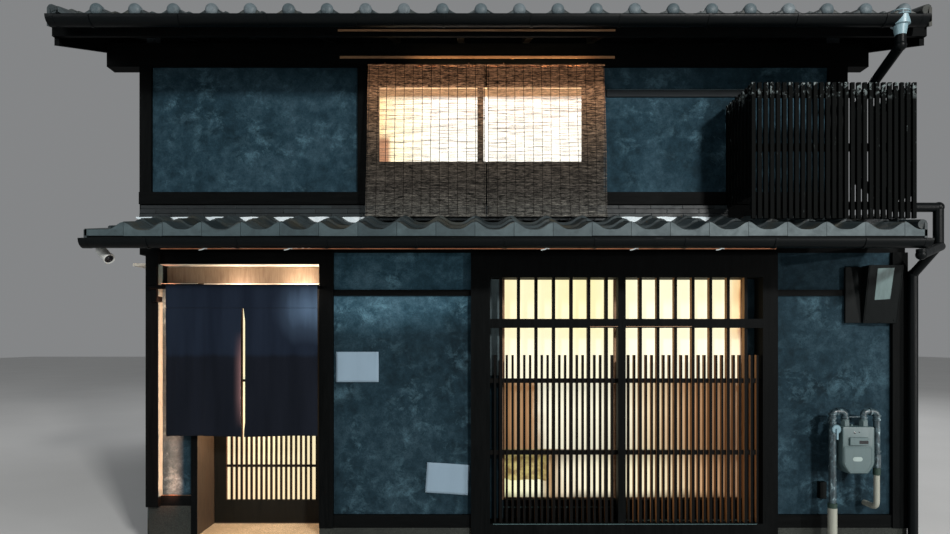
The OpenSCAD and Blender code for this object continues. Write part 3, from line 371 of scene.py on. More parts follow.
def upper_window_paint():
    """Panes behind the blinds, glowing as painted light: bright, with a tan band over them that is painted
    shade.
    """
    p = Paint("upper_pane", 0.5, 0.3)
    across, z = p.along("X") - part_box("upper_window_glass")[0].x, p.along("Z")
    lit = p.ramp(across, (0, (1, 0.72, 0.36)), (0.12, (1, 0.9, 0.62)), (0.4, (1, 0.97, 0.88)))
    # Painted shade: the lower left corner dims to brown.
    lit = p.mix(p.span(across, 0.085, 0.06) * p.span(z, 2.98, 2.93), lit, (0.35, 0.145, 0.072))
    # Painted highlight: a thin bright line runs through the tan band.
    band = p.mix((z > 3.3005) * (z < 3.306), (0.24, 0.13, 0.06), (0.95, 0.65, 0.36))
    return p.shining(p.mix(p.span(z, 3.22, 3.25), lit, band), 2.7)


def porch_paint():
    """Planed boards inside the porch, browner low down and painted much paler over the door, as painted
    light.
    """
    p = Paint("porch_timber", 0.55, 0.25)
    fibres = p.noise(9, detail=9, rough=0.7, warp=0.5, stretch=(14, 14, 1))
    knots = p.noise(3.0, detail=4, rough=0.6, warp=2.0, stretch=(6, 6, 1))
    low = p.ramp(fibres, (0.3, (0.04, 0.024, 0.014)), (0.7, (0.085, 0.055, 0.033)))
    # Painted light: above 1.9 m the boards are painted far paler, where the porch light falls on them.
    high = p.ramp(fibres, (0.3, (0.15, 0.105, 0.065)), (0.7, (0.24, 0.18, 0.12)))
    shown = p.mix(p.along("Z") > 1.9, low, high)
    return p.done(p.mix(p.fade(knots, 0.5, 0.75, 0.5), shown, (0.08, 0.04, 0.02)), None,
                  (fibres, 0.001, 0.6))


def reed_paint():
    """Split reeds with short flecks: grey low down, painted warmer and lighter towards the top as painted
    light from the window behind.
    """
    p = Paint("reed", 0.6, 0.15)
    # Painted light: the reeds turn warmer and lighter towards the top, where the window behind them shines
    # through.
    tone = p.ramp(p.span(p.along("Z"), 2.4, 3.45), (0, (0.13, 0.125, 0.11)), (0.12, (0.09, 0.08, 0.068)),
                  (0.3, (0.1, 0.082, 0.064)), (0.5, (0.22, 0.15, 0.1)), (0.75, (0.46, 0.25, 0.135)),
                  (1, (0.72, 0.35, 0.18)))
    own = p.node("TexNoise", noise_dimensions="4D", Vector=p.stretched((6, 1, 1)), Scale=4, Detail=3,
                 Roughness=0.65, W=p.island() * 90)
    flecks = own * 0.6 + p.noise(4, detail=5, rough=0.75, stretch=(6, 12, 30)) * 0.4
    shown = tone.tinted(p.ramp(p.island(), (0, 0.7), (0.5, 0.95), (1, 1.2)))
    return p.done(shown.tinted(p.ramp(flecks, (0.39, 2.0), (0.48, 0.85), (0.57, 0.08))), None,
                  (flecks, 0.0004, 0.6))


def thread_paint():
    """Dark twisted thread."""
    p = Paint("thread", 0.9, 0.1)
    twist = p.wave(900, "Z", 0.5)
    return p.done(p.ramp(twist, (0.2, (0.003, 0.0025, 0.002)), (0.8, (0.014, 0.011, 0.009))), None,
                  (twist, 0.0003, 1))


def cloth_paint(slit_x):
    """Indigo cotton with a plain weave, a pale painted highlight, a pink painted glow by the slit, and a top
    half painted lighter than the painted shade below it.
    """
    p = Paint("noren_cloth", 0.9, 0.08)
    x, z = p.along("X"), p.along("Z")
    weave = p.wave(420, "X", 0.6, 1) * p.wave(420, "Z", 0.6, 1)
    folds = p.noise(5, detail=4, rough=0.55, stretch=(1.6, 1, 0.16))
    low = p.ramp(folds, (0.36, (0.0024, 0.0036, 0.0066)), (0.64, (0.0052, 0.0068, 0.0115)))
    high = p.ramp(folds, (0.36, (0.0042, 0.0078, 0.016)), (0.64, (0.0085, 0.014, 0.026)))
    # Painted light and shade: the top half is lighter and the lower half darker, split by a painted shadow
    # line.
    tone = p.mix(p.span(z + folds * 0.05, 1.405, 1.435), low, high)
    middle, flat = (p.node("CombineXYZ", X=a, Y=0, Z=b) for a, b in ((slit_x + 0.445, 1.715), (x, z)))
    away = p.node("VectorMath", flat, middle, operation="DISTANCE", out="Value")
    # Painted highlight: a pale patch round a point high up, right of the slit.
    patchwork = p.ramp(away + (folds - 0.5) * 0.2, (0, 0.8), (0.06, 0.6), (0.16, 0.16), (0.26, 0))
    cloth_with_painted_light = p.mix(patchwork, tone, (0.1, 0.16, 0.25))
    # Painted light: a pink glow on the cloth just left of the slit.
    slit_glow = p.span(x, slit_x - 0.075, slit_x - 0.012) * (x < slit_x + 0.002)
    tall = p.span(abs(z - 1.23), 0.33, 0.12)
    cloth_with_painted_light = p.mix(slit_glow * slit_glow * (tall * 0.8), cloth_with_painted_light, (0.26, 0.14, 0.14))
    p.set(Sheen_Weight=0.03, Sheen_Roughness=0.5)
    shown = p.mix(weave * 0.25, cloth_with_painted_light, (0.012, 0.017, 0.028))
    return p.done(shown, None, (weave, 0.0004, 0.5), (folds, 0.003, 0.5))


STAINED = (0.0008, 0.0012, 0.0013), (0.0034, 0.004, 0.0041)
LATTICE_TONES = (0.0012, 0.0013, 0.0013), (0.0045, 0.0042, 0.0038)
PLASTER = plaster_paint("plaster", (0.004, 0.0138, 0.0205), (0.012, 0.0325, 0.047), (0.031, 0.064, 0.086),
                        (0.067, 0.136, 0.175))
# Painted shade: the upper plaster's colours at 0.68 of their brightness, with painted light on the left above
# 1.66 m.
LOWER_PLASTER = plaster_paint("lower_plaster_shaded", (0.0027, 0.0094, 0.014), (0.0082, 0.0222, 0.032),
                              (0.021, 0.0435, 0.0585), (0.0456, 0.0925, 0.119), lit_above=1.66)
PARTY = plaster_paint("party_plaster", (0.035, 0.046, 0.052), (0.055, 0.068, 0.076), (0.08, 0.095, 0.104),
                      (0.12, 0.14, 0.15))
TIMBER = timber_paint("dark_timber", *STAINED, specular=0.035)
TIMBER_X = timber_paint("dark_timber_along", *STAINED, "X", specular=0.035)
# Painted light: the side colours below light the sides of the lattice and door bars; the left lattice's sides
# are painted dimmer.
LATTICE = timber_paint("lattice_timber", *LATTICE_TONES, specular=0.05, side=(0.34, 0.18, 0.08))
LATTICE_LEFT = timber_paint("lattice_timber_left", *LATTICE_TONES, specular=0.05, side=(0.075, 0.036, 0.016))
DOOR = timber_paint("door_timber", (0.0035, 0.003, 0.0018), (0.01, 0.0085, 0.0055), side=(0.1, 0.036, 0.018))
CEILING = timber_paint("ceiling_timber", (0.86, 0.76, 0.6), (0.98, 0.92, 0.8), "X", 0.5, 0.3, 0.1)
INNER = porch_paint()
RAIL = timber_paint("rail_timber", (0.2, 0.1, 0.05), (0.4, 0.24, 0.13), "X", 0.5, 0.3, 0.1)
BOARDS = timber_paint("floor_boards", (0.16, 0.1, 0.055), (0.3, 0.2, 0.12), "Y", 0.5, 0.35)
SCREEN = screen_paint()
TILES = tile_paint("roof_tile", (0.009, 0.015, 0.017), (0.021, 0.031, 0.034), (0.038, 0.052, 0.056),
                   ochre=0.5)
# Painted light: the eave faces are the tiles' clay painted lighter where they face the street.
FACES = tile_paint("eave_face", (0.028, 0.046, 0.052), (0.042, 0.066, 0.073), (0.058, 0.085, 0.092))
# Painted shade: the band tiles are the same clay painted far darker.
NOSHI = tile_paint("band_tile", (0.0025, 0.005, 0.006), (0.006, 0.01, 0.0115), (0.013, 0.02, 0.0225))
# Painted highlight: the eave knobs are the same clay painted lighter.
KNOBS = tile_paint("eave_tile", (0.06, 0.084, 0.094), (0.1, 0.13, 0.144), (0.145, 0.175, 0.19))
STONE = stone_paint("stone", (0.011, 0.0135, 0.0115), (0.023, 0.0265, 0.0225))
FLOOR = stone_paint("earth_floor", (0.55, 0.38, 0.22), (0.8, 0.6, 0.38), 400)
LINING = timber_paint("post_lining", (0.045, 0.085, 0.09), (0.095, 0.16, 0.165), specular=0.2)
# Painted shade: the dark strip laid on the upper wall where a shadow band falls.
SHADOW_BAND = timber_paint("shadow_band_paint", (0.0055, 0.0085, 0.011), (0.012, 0.017, 0.02), "X")
# Painted light: the warm line under the lower gutter, standing in for the window light reflected there.
GUTTER_LIGHT_LINE = metal_paint("gutter_lit_line", (0.32, 0.12, 0.055), 0.35, 0.4, dirt=0.6)
CLIPS = metal_paint("gutter_clips", (0.42, 0.47, 0.47), 0.35, 0.4, dirt=0.4)
GUTTER = metal_paint("gutter_paint", (0.0012, 0.0022, 0.0026), 0.34, 0.1)
LIME = plaster_paint("lime", (0.5, 0.58, 0.62), (0.68, 0.76, 0.79), (0.8, 0.86, 0.88), (0.86, 0.9, 0.92))
METER = metal_paint("meter_paint", (0.05, 0.085, 0.089), 0.42, dirt=0.2)
PIPE = pipe_paint()
STEEL = metal_paint("bright_pipe_paint", (0.12, 0.2, 0.235), 0.35, 0.4, 0.2, 0.4)
IVORY = metal_paint("ivory_sleeve", (0.24, 0.25, 0.21), 0.5)
GREEN = metal_paint("green_band", (0.012, 0.03, 0.022), 0.5, 0.3)
BOX = metal_paint("box_paint", (0.0018, 0.003, 0.0032), 0.5, 0.07)
OVAL = metal_paint("blank_oval", (0.22, 0.28, 0.27), 0.5, dirt=0.2)
LABEL = metal_paint("blank_label", (0.08, 0.125, 0.125), 0.4, 0.3, dirt=0.8)
WHITE = metal_paint("camera_plastic", (0.5, 0.51, 0.49), 0.4, dirt=0.15)
FUNNEL = metal_paint("funnel_paint", (0.2, 0.31, 0.35), 0.35, dirt=0.2)
BLACK = metal_paint("black_glass", (0.006, 0.006, 0.008), 0.12, dirt=0.05)
PAPER = metal_paint("notice_paper", (0.18, 0.25, 0.31), 0.8, 0.15, dirt=0.06)
LOWER_GLOW = window_paint()
DOOR_GLOW = glow_paint("door_pane", (1, 0.78, 0.46), (1, 0.96, 0.62), 0.95, 0.3, 1.1)
UPPER_GLOW = upper_window_paint()
PANE = glow_paint("rear_pane", (0.9, 0.62, 0.34), (1, 0.84, 0.56), 0.6, 0.9, 3.3)
REED = reed_paint()
THREAD = thread_paint()


# Shapes


def circle(sides):
    """Angles of the points round a circle."""
    return [tau * k / sides for k in range(sides)]


def rounded(x, z, radius, steps=5):
    """Outline of a rectangle with round corners, as (x, z) points."""
    points = []
    middles = ((x[1], z[1], -1, -1), (x[0], z[1], 1, -1), (x[0], z[0], 1, 1), (x[1], z[0], -1, 1))
    for turn, (cx, cz, sx, sz) in enumerate(middles):
        for a in ((turn + share) * pi / 2 for share in shares(steps)):
            points.append((cx + radius * (sx + cos(a)), cz + radius * (sz + sin(a))))
    return points


def bent(points, radius, steps=6):
    """A path with its corners rounded."""
    points = [Vector(p) for p in points]
    path = [points[0]]
    for a, b, c in zip(points, points[1:], points[2:]):
        back, ahead = a - b, c - b
        reach = min(radius, back.length / 2, ahead.length / 2)
        near, far = b + back.normalized() * reach, b + ahead.normalized() * reach
        path += [(1 - t) ** 2 * near + 2 * t * (1 - t) * b + t * t * far for t in shares(steps)]
    return path + points[-1:]


class Shape:
    """Points and faces of simple solids, made into one piece."""

    def __init__(self):
        self.points, self.faces = [], []

    def add(self, points, faces):
        """Adds points and the faces between them."""
        base = len(self.points)
        self.points += [tuple(p) for p in points]
        self.faces += [tuple(base + i for i in face) for face in faces]

    def box(self, x, y, z):
        """A box between ranges."""
        faces = (0, 1, 3, 2), (4, 6, 7, 5), (0, 4, 5, 1), (2, 3, 7, 6), (0, 2, 6, 4), (1, 5, 7, 3)
        self.add([(a, b, c) for a in x for b in y for c in z], faces)

    def loft(self, rings):
        """Skins closed rings of equally many points, with a cap at each end."""
        n = len(rings[0])
        last = (len(rings) - 1) * n
        faces = [(r + i, r + (i + 1) % n, r + n + (i + 1) % n, r + n + i)
                 for r in range(0, last, n) for i in range(n)]
        self.add([p for ring in rings for p in ring], [*faces, range(n)[::-1], range(last, last + n)])

    def tube(self, path, radius, sides=12):
        """A round bar along a path; radius is one length or one for each point."""
        path = [Vector(p) for p in path]
        radii = radius if hasattr(radius, "__len__") else [radius] * len(path)
        rings = []
        side = None
        for p, r, before, after in zip(path, radii, path[:1] + path, path[1:] + path[-1:]):
            ahead = (after - before).normalized()
            side = side or ahead.orthogonal().normalized()
            side = (side - ahead * side.dot(ahead)).normalized()
            up = ahead.cross(side)
            rings.append([p + r * (cos(a) * side + sin(a) * up) for a in circle(sides)])
        self.loft(rings)

    def turned(self, outline, at, axis=(0, 0, 1), sides=24):
        """A turned form: outline gives (radius, distance along the axis)."""
        turn = Vector((0, 0, 1)).rotation_difference(Vector(axis)).to_matrix()
        self.loft([[Vector(at) + turn @ Vector((r * cos(a), r * sin(a), d)) for a in circle(sides)]
                   for r, d in outline])

    def prism(self, outline, x):
        """An outline of (y, z) points carried along X."""
        self.loft([[(a, y, z) for y, z in outline] for a in x])

    def slab(self, outline, *levels):
        """An (x, z) outline carried along Y; each level is (y, inset)."""
        xs, zs = zip(*outline)
        (cx, hx), (cz, hz) = (((min(a) + max(a)) / 2, (max(a) - min(a)) / 2) for a in (xs, zs))
        self.loft([
            [(cx + (x - cx) * (1 - inset / hx), y, cz + (z - cz) * (1 - inset / hz)) for x, z in outline]
            for y, inset in levels])

    def plate(self, x, z, radius, *levels):
        """A slab with round corners."""
        self.slab(rounded(x, z, radius), *levels)

    def shell(self, rows, drop):
        """A grid of points given a thickness along a vector."""
        n = len(rows[0])
        top = [Vector(p) for row in rows for p in row]
        under = len(top)
        faces = []
        for a in (r + c for r in range(0, under - n, n) for c in range(n - 1)):
            corners = (a, a + 1, a + n + 1, a + n)
            faces += [corners, [under + i for i in corners[::-1]]]
        rim = [*range(n), *range(2 * n - 1, under, n), *range(under - 2, under - n - 1, -1),
               *range(under - 2 * n, 0, -n)]
        faces += [(b, a, under + a, under + b) for a, b in zip(rim, rim[1:] + rim[:1])]
        self.add(top + [p + Vector(drop) for p in top], faces)

    def mirrored(self):
        """The same shape on the rear slope."""
        copy = Shape()
        copy.points = [(x, 2 * RIDGE_Y - y, z) for x, y, z in self.points]
        copy.faces = [face[::-1] for face in self.faces]
        return copy

    def as_object(self, name, paint, smooth):
        """The shape as an object, smooth where faces meet at less than an angle."""
        mesh = bpy.data.meshes.new(name)
        mesh.from_pydata(self.points, [], self.faces)
        mesh.validate()
        work = bmesh.new()
        work.from_mesh(mesh)
        bmesh.ops.recalc_face_normals(work, faces=work.faces)
        work.to_mesh(mesh)
        work.free()
        mesh.polygons.foreach_set("use_smooth", [smooth > 0] * len(mesh.polygons))
        if smooth:
            mesh.set_sharp_from_angle(angle=smooth)
        mesh.materials.append(paint)
        return put(name, mesh)

    def build(self, name, paint, slot, body="house", smooth=0.6, bevel=0, stands_for=()):
        """Makes the piece and lets it ride."""
        piece = self.as_object(name, paint, smooth)
        if bevel:
            round_edges(piece, bevel)
        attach(piece, body)
        if stands_for:
            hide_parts(*stands_for)
        return piece


def strips(name, paint, *boxes, slot="dark_timber", bevel=0):
    """A piece of plain boxes whose depth counts from the front wall's face."""
    shape = Shape()
    for x, (near, far), z in boxes:
        shape.box(x, (FRONT + near, FRONT + far), z)
    shape.build(name, paint, slot, smooth=0, bevel=bevel)


# Tiled roofs

# Each slope is its tip, number of courses, underside, and the height of the tiles' beds over that
MAIN_ROOF = (MAIN_TIP, round((RIDGE_Y - MAIN_TIP) / 0.205), main_under, TILE_BODY)
LOWER_ROOF = (LOWER_LO.y, 3, lower_under, TILE_T)
KNOB = [(0.0405, 0.03), (0.0405, 0.004), (0.0385, -0.003), (0.034, -0.009), (0.027, -0.0145), (0.018, -0.018),
        (0.009, -0.0195), (0.002, -0.02)]


def tile_rise(u, deep=0.046):
    """Height of a tile's surface across its width, from roll to pan to roll."""
    return deep * (0.5 + 0.5 * cos(tau * u)) ** 1.8 + 0.034 - deep


def columns(start, end, phase):
    """Both ends along X of each tile; phase is the middle of a roll."""
    for column in range(-2, int((end - phase) / PITCH) + 1):
        x0, x1 = max(phase + column * PITCH, start), min(phase + (column + 1) * PITCH, end)
        if x1 - x0 >= 0.02:
            yield x0, x1


def bricks(start, end, length, layer):
    """Both ends along X of each flat tile in a layer; every other layer is shifted."""
    x = start - (layer % 2) * length / 2
    while x < end:
        a, b = max(x, start) + 0.001, min(x + length, end) - 0.001
        if b - a > 0.01:
            yield a, b
        x += length


def tiled_slope(shape, slope, start, end, phase, top, step_in=0):
    """Courses of tiles laid over each other from the eave's tip up to the top."""
    steps, lap = 14, 0.004
    tip, courses, under, body = slope
    length = (top - tip) / courses
    for course in range(courses):
        near_y = tip + course * length
        far_y = min(near_y + length * 1.12, top)
        for x0, x1 in columns(start + course * step_in, end, phase):
            lean = jitter(0.0012)
            near = (near_y + jitter(0.002), under(near_y) + body + TILE_STEP + lean)
            far = (far_y, under(far_y) + body + TILE_STEP * 0.12 + lean)
            line = []
            for x, share in zip(spread(x0, x1, 0.0008, steps), shares(steps)):
                u = (x - phase) / PITCH
                line.append((x, tile_rise(max(u, -0.5) if step_in else u) + lap * (1 - share)))
            ends = (near, [(a + b) / 2 for a, b in zip(near, far)], far)
            shape.shell([[(x, y, z + rise) for x, rise in line] for y, z in ends], (0, 0.004, -TILE_WALL))


def verge_tiles(shape, slope, edge, outward, top, step_in=0, roll=True):
    """Tiles over the roof's side edge, with a roll or a low flat lip."""
    tip, courses, under, body = slope
    length = (top - tip) / courses
    for course in range(courses):
        x, y0 = edge - outward * course * step_in, tip + course * length
        y1 = min(y0 + length + 0.01, top)
        z0, z1 = under(y0) + body + TILE_STEP, under(y1) + body
        rows = [[(x, y0, z0 + rise), (x, y1, z1 + rise)] for rise in (0.03 if roll else -0.012, -0.085)]
        shape.shell(rows, (-outward * 0.018, 0, 0))
        if roll:
            x -= outward * 0.028
            shape.tube([(x, y0 + 0.004, z0 + 0.022), (x, y1, z1 + 0.022)], 0.029, 10)


def lower_eave_faces(shape):
    """Flat faces under the lower roof's first tiles."""
    y, z = LOWER_LO.y, LOWER_LO.z
    for x0, x1 in columns(LOWER_LO.x, LOWER_HI.x, LOWER_ROLL):
        top = [(x, y, z + TILE_T + TILE_STEP + tile_rise(max((x - LOWER_ROLL) / PITCH, -0.5)))
               for x in spread(x0, x1, 0.0012, 14)]
        foot = z + jitter(0.0015)
        shape.shell([[(x, y, foot) for x, _, _ in top], top], (0, 0.016, 0))


def main_eave_faces(shape, knobs):
    """Round knobs and the crescent aprons between them."""
    y, base = MAIN_TIP, main_under(MAIN_TIP) + TILE_TOP
    for x0, x1 in columns(MAIN_LO.x + 0.06, MAIN_HI.x, MAIN_ROLL):
        foot, top = [], []
        for x in spread(x0, x1, 0.0015, 12):
            u = (x - MAIN_ROLL) / PITCH
            z = base + tile_rise(u, 0.058)
            top.append((x, y, z))
            foot.append((x, y, z - 0.03 - 0.016 * (0.5 - 0.5 * cos(tau * u))))
        shape.shell([foot, top], (0, 0.014, 0))
        if MAIN_LO.x + 0.1 < x0:
            knobs.turned(KNOB, (x0, y - 0.001, base - TILE_STEP + 0.039 + jitter(0.001)), (0, 1, 0))


def roof_bed(near, far, under, low, high, x0, x1):
    """Boards under the tiles, between two heights over the underside."""
    shape = Shape()
    shape.prism([(near, under(near) + low), (far, under(far) + low), (far, under(far) + high),
                 (near, under(near) + high)], (x0 + 0.02, x1 - 0.02))
    return shape


def make_roofs():
    """Both slopes of the main roof, and the lower roof."""
    front, knobs, lower, faces = Shape(), Shape(), Shape(), Shape()
    tiled_slope(front, MAIN_ROOF, MAIN_LO.x + 0.03, MAIN_HI.x - 0.03, MAIN_ROLL, RIDGE_Y - 0.03)
    verge_tiles(front, MAIN_ROOF, MAIN_LO.x, -1, RIDGE_Y - 0.16)
    verge_tiles(front, MAIN_ROOF, MAIN_HI.x, 1, RIDGE_Y - 0.16)
    main_eave_faces(front, knobs)
    bed = roof_bed(MAIN_TIP + 0.03, RIDGE_Y, main_under, 0.075, TILE_BODY - PAN_DEPTH, MAIN_LO.x, MAIN_HI.x)
    for place, side in (("rear", Shape.mirrored), ("front", lambda shape: shape)):
        side(front).build("roof_tiles_" + place, TILES, "roof_tile", stands_for=["main_roof_" + place])
        side(knobs).build("eave_knobs_" + place, KNOBS, "roof_tile")
        side(bed).build("roof_bed_" + place, TIMBER_X, "dark_timber", smooth=0)

    tiled_slope(lower, LOWER_ROOF, LOWER_LO.x, LOWER_HI.x, LOWER_ROLL, LOWER_HI.y, 0.04)
    verge_tiles(lower, LOWER_ROOF, LOWER_LO.x, -1, LOWER_HI.y - 0.03, 0.04, False)
    verge_tiles(lower, LOWER_ROOF, LOWER_HI.x, 1, LOWER_HI.y - 0.03)
    lower.build("lower_tiles", TILES, "roof_tile", stands_for=["lower_roof"])
    lower_eave_faces(faces)
    faces.build("lower_eave_faces", FACES, "roof_tile")
    bed = roof_bed(LOWER_LO.y + 0.02, LOWER_HI.y, lower_under, 0, 0.003, LOWER_LO.x, LOWER_HI.x)
    bed.build("lower_tile_bed", TIMBER_X, "dark_timber", smooth=0)


def make_ridge():
    """Ridge of stepped flat tiles, a round cap and the two end tiles."""
    low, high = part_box("roof_ridge")
    apex = main_under(RIDGE_Y) + TILE_TOP
    start, end = low.x + 0.06, high.x - 0.06
    layer_h = 0.034
    shape = Shape()
    for layer in range(5):
        half, z = 0.13 - 0.011 * layer, apex - 0.02 + layer * layer_h
        core = half - 0.02
        shape.box((start, end), (RIDGE_Y - core, RIDGE_Y + core), (z, z + layer_h + 0.001))
        for side in (-1, 1):
            for x in bricks(start, end, 0.265, layer):
                ys = sorted((RIDGE_Y + side * core * 0.9, RIDGE_Y + side * (half + jitter(0.001))))
                shape.box(x, ys, (z + layer_h * 0.25, z + layer_h * 0.92))
    cap_z = apex + 0.15
    x = start
    while x < end - 0.05:
        after, lift = min(x + 0.25, end), jitter(0.001)
        points = ((x, lift), (x + 0.03, lift), (x + 0.031, 0), (after, 0))
        shape.tube([(a, RIDGE_Y, cap_z + b) for a, b in points], [0.075, 0.075, 0.069, 0.069], 20)
        x = after
    outline = [(0, 0), (0.15, -0.13 * MAIN_SLOPE), (0.172, 0.05), (0.142, 0.10), (0.15, 0.15), (0.122, 0.19),
               (0.126, 0.25), (0.095, 0.262), (0.06, 0.25), (0.03, 0.285)]
    ring = [(RIDGE_Y + y, apex + z) for y, z in outline + [(-y, z) for y, z in outline[:0:-1]]]
    for x, out in ((low.x + 0.012, -1), (high.x - 0.012, 1)):
        shape.prism(ring, sorted((x, x - out * 0.05)))
        shape.turned([(0.052, 0), (0.052, 0.004), (0.045, 0.011), (0.02, 0.012)],
                     (x - out * 0.002, RIDGE_Y, apex + 0.14), (out, 0, 0), 28)
        for side in (-1, 1):
            curl = [(x, RIDGE_Y + side * (0.075 + 0.045 * cos(t)), apex + 0.07 + 0.045 * sin(t))
                    for t in (k * pi / 7 - 1.2 for k in range(10))]
            shape.tube(curl, [0.011] * 9 + [0.005], 8)
    shape.build("ridge_tiles", TILES, "roof_tile", stands_for=["roof_ridge"], bevel=0.002)


def make_noshi():
    """Flat tiles at the foot of the upper wall, with lime in the hollows under them."""
    low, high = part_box("noshi_band")
    shape, fills = Shape(), Shape()
    foot = z = high.z - 0.09
    for layer, layer_h in enumerate((0.027, 0.034, 0.027)):
        for x in bricks(low.x, high.x, 0.224, layer):
            shape.box(x, (low.y + 0.008 * layer + jitter(0.001), high.y), (z + 0.002, z + layer_h - 0.001))
        z += layer_h
    shape.box((low.x + 0.004, high.x), (low.y + 0.02, high.y), (low.z, high.z - 0.004))
    shape.build("noshi_tiles", NOSHI, "roof_tile", stands_for=["noshi_band"], bevel=0.0015)
    y = low.y + 0.004
    for column in range(-1, int((high.x - LOWER_ROLL) / PITCH) + 1):
        mid = LOWER_ROLL + (column + 0.5) * PITCH
        behind_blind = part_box("reed_blind_left")[0].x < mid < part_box("reed_blind_right")[1].x
        if behind_blind or not low.x + 0.03 < mid < high.x - 0.05:
            continue
        pans = []
        for u in spread(-0.5, 0.5, 0, 10):
            x = mid + u * 0.19
            pan = lower_under(y) + TILE_T + 0.002 + tile_rise((x - LOWER_ROLL) / PITCH)
            pans.append((x, y - 0.004 * cos(pi * u), pan))
        fills.shell([pans, [(x, near, foot + 0.004) for x, near, _ in pans]], (0, 0.03, 0))
    fills.build("lime_fillets", LIME, "plaster")


make_roofs()
make_ridge()
make_noshi()


# Blinds and curtain


def make_blind(name, node):
    """Reed blind: fine reeds laced by threads, between a top and a foot lath."""
    low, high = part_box(node)
    top = high.z - 0.012
    width, height = high.x - low.x, top - low.z
    reeds, lacing, laths = Shape(), Shape(), Shape()

    def hang(share):
        """Depth of the sheet at a share of its height from the top."""
        return BLIND_TOP + (BLIND_FOOT - BLIND_TOP) * share - 0.006 * sin(pi * share)

    count, threads = int(height / REED_PITCH), round(width / THREAD_GAP)
    wobble = random.uniform(0, 6)
    for i in range(count):
        share = (i + 0.5) / count
        slope, thick = jitter(0.0012), random.uniform(0.0014, 0.0019)
        left = low.x + 0.002 + abs(jitter(0.003)) + 0.002 * sin(share * 9 + wobble)
        right = high.x - 0.002 - abs(jitter(0.003)) + 0.002 * sin(share * 7 + wobble)
        path, radii = [], []
        for s in shares(14):
            x = left + (right - left) * s + jitter(0.01) * (0 < s < 1)
            z = top - share * height + slope * (s - 0.5) + jitter(0.0005)
            path.append((x, hang(share) + 0.0006 * sin(9 * s + i), z))
            radii.append(thick * random.choice((0.75, 0.9, 1, 1, 1.2)))
        reeds.tube(path, radii, 5)
    reeds.build(name + "_reeds", REED, "reed", stands_for=[node])
    for t, x in enumerate(spread(low.x, high.x, 0.012, threads)):
        for side in (-1, 1):
            path = [(x + 0.0004 * side + 0.0015 * sin(5 * s + t), hang(s) + side * 0.0028, top - s * height)
                    for s in shares(40)]
            lacing.tube(path, 0.0014, 5)
    lacing.build(name + "_threads", THREAD, "reed")
    for z, y in ((high.z - 0.018, BLIND_TOP), (low.z + 0.01, BLIND_FOOT)):
        sag = ((low.x + 0.001, z), (low.x + width / 2, z - 0.0015), (high.x - 0.001, z))
        laths.tube([(x, y, at) for x, at in sag], 0.006, 10)
    hook_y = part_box("upper_posts")[0].y - 0.001
    for x in (low.x + 0.12, high.x - 0.12):
        hook = ((BLIND_TOP, 0.016), (BLIND_TOP + 0.002, 0.004), (BLIND_TOP + 0.02, 0.001), (hook_y, 0.002))
        laths.tube([(x, y, high.z - drop) for y, drop in hook], 0.003, 8)
    laths.build(name + "_laths", REED, "reed")


make_blind("blind_left", "reed_blind_left")
make_blind("blind_right", "reed_blind_right")


def make_noren():
    """Curtain in two widths, joined at the top and split below."""
    low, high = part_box("noren")
    width, height = high.x - low.x, high.z - low.z
    slit_top, slit_half = high.z - 0.15, 0.0155
    middle_u = 0.5 + 0.009 / width
    columns_n, rows_n = 96, 84

    def cloth(u, v):
        """A place on the cloth: u from 0 to 1 across, v from 0 down to 1."""
        x = low.x + width * (u * middle_u * 2 if u < 0.5 else middle_u + (u - 0.5) * (1 - middle_u) * 2)
        z = high.z - height * v
        fold = 0.0045 * sin(u * 31 + 1.1 * sin(v * 2.2)) + 0.003 * sin(u * 13 + 0.7)
        fold += 0.0022 * sin(u * 57 + v * 1.3)
        y = (low.y + high.y) / 2 - 0.002 + fold * (0.25 + 0.75 * min(1, v * 2.4))
        if z < slit_top:
            parted = min(1, 0.25 + (slit_top - z) / 0.13)
            parted *= 0.55 + 0.45 * min(1, max(0, (z - low.z - 0.04) / 0.06))
            parted *= exp(-abs(u - 0.5) * 9) * (1 if u > 0.5 else -1)
            x += slit_half * parted
            y -= 0.008 * parted
        return (x, max(low.y + 0.001, min(high.y + 0.004, y)), z + 0.004 * sin(u * 9) * v)

    shape = Shape()
    half = columns_n // 2
    split_row = next(r for r in range(rows_n) if high.z - height * r / rows_n < slit_top)
    for first, last, start, end in ((0, split_row, 0, columns_n), (split_row, rows_n, 0, half),
                                    (split_row, rows_n, half, columns_n)):
        slit = 1e-4 * (1 if start else -1) * (first > 0)
        shape.shell([[cloth(c / columns_n + slit * (c == half), r / rows_n) for c in range(start, end + 1)]
                     for r in range(first, last + 1)], (0, 0.0016, 0))
    return shape.build("noren_cloth", cloth_paint(low.x + width * middle_u), "noren_cloth", smooth=3.2,
                       stands_for=["noren"])


NOREN = make_noren()


# Fittings on the front


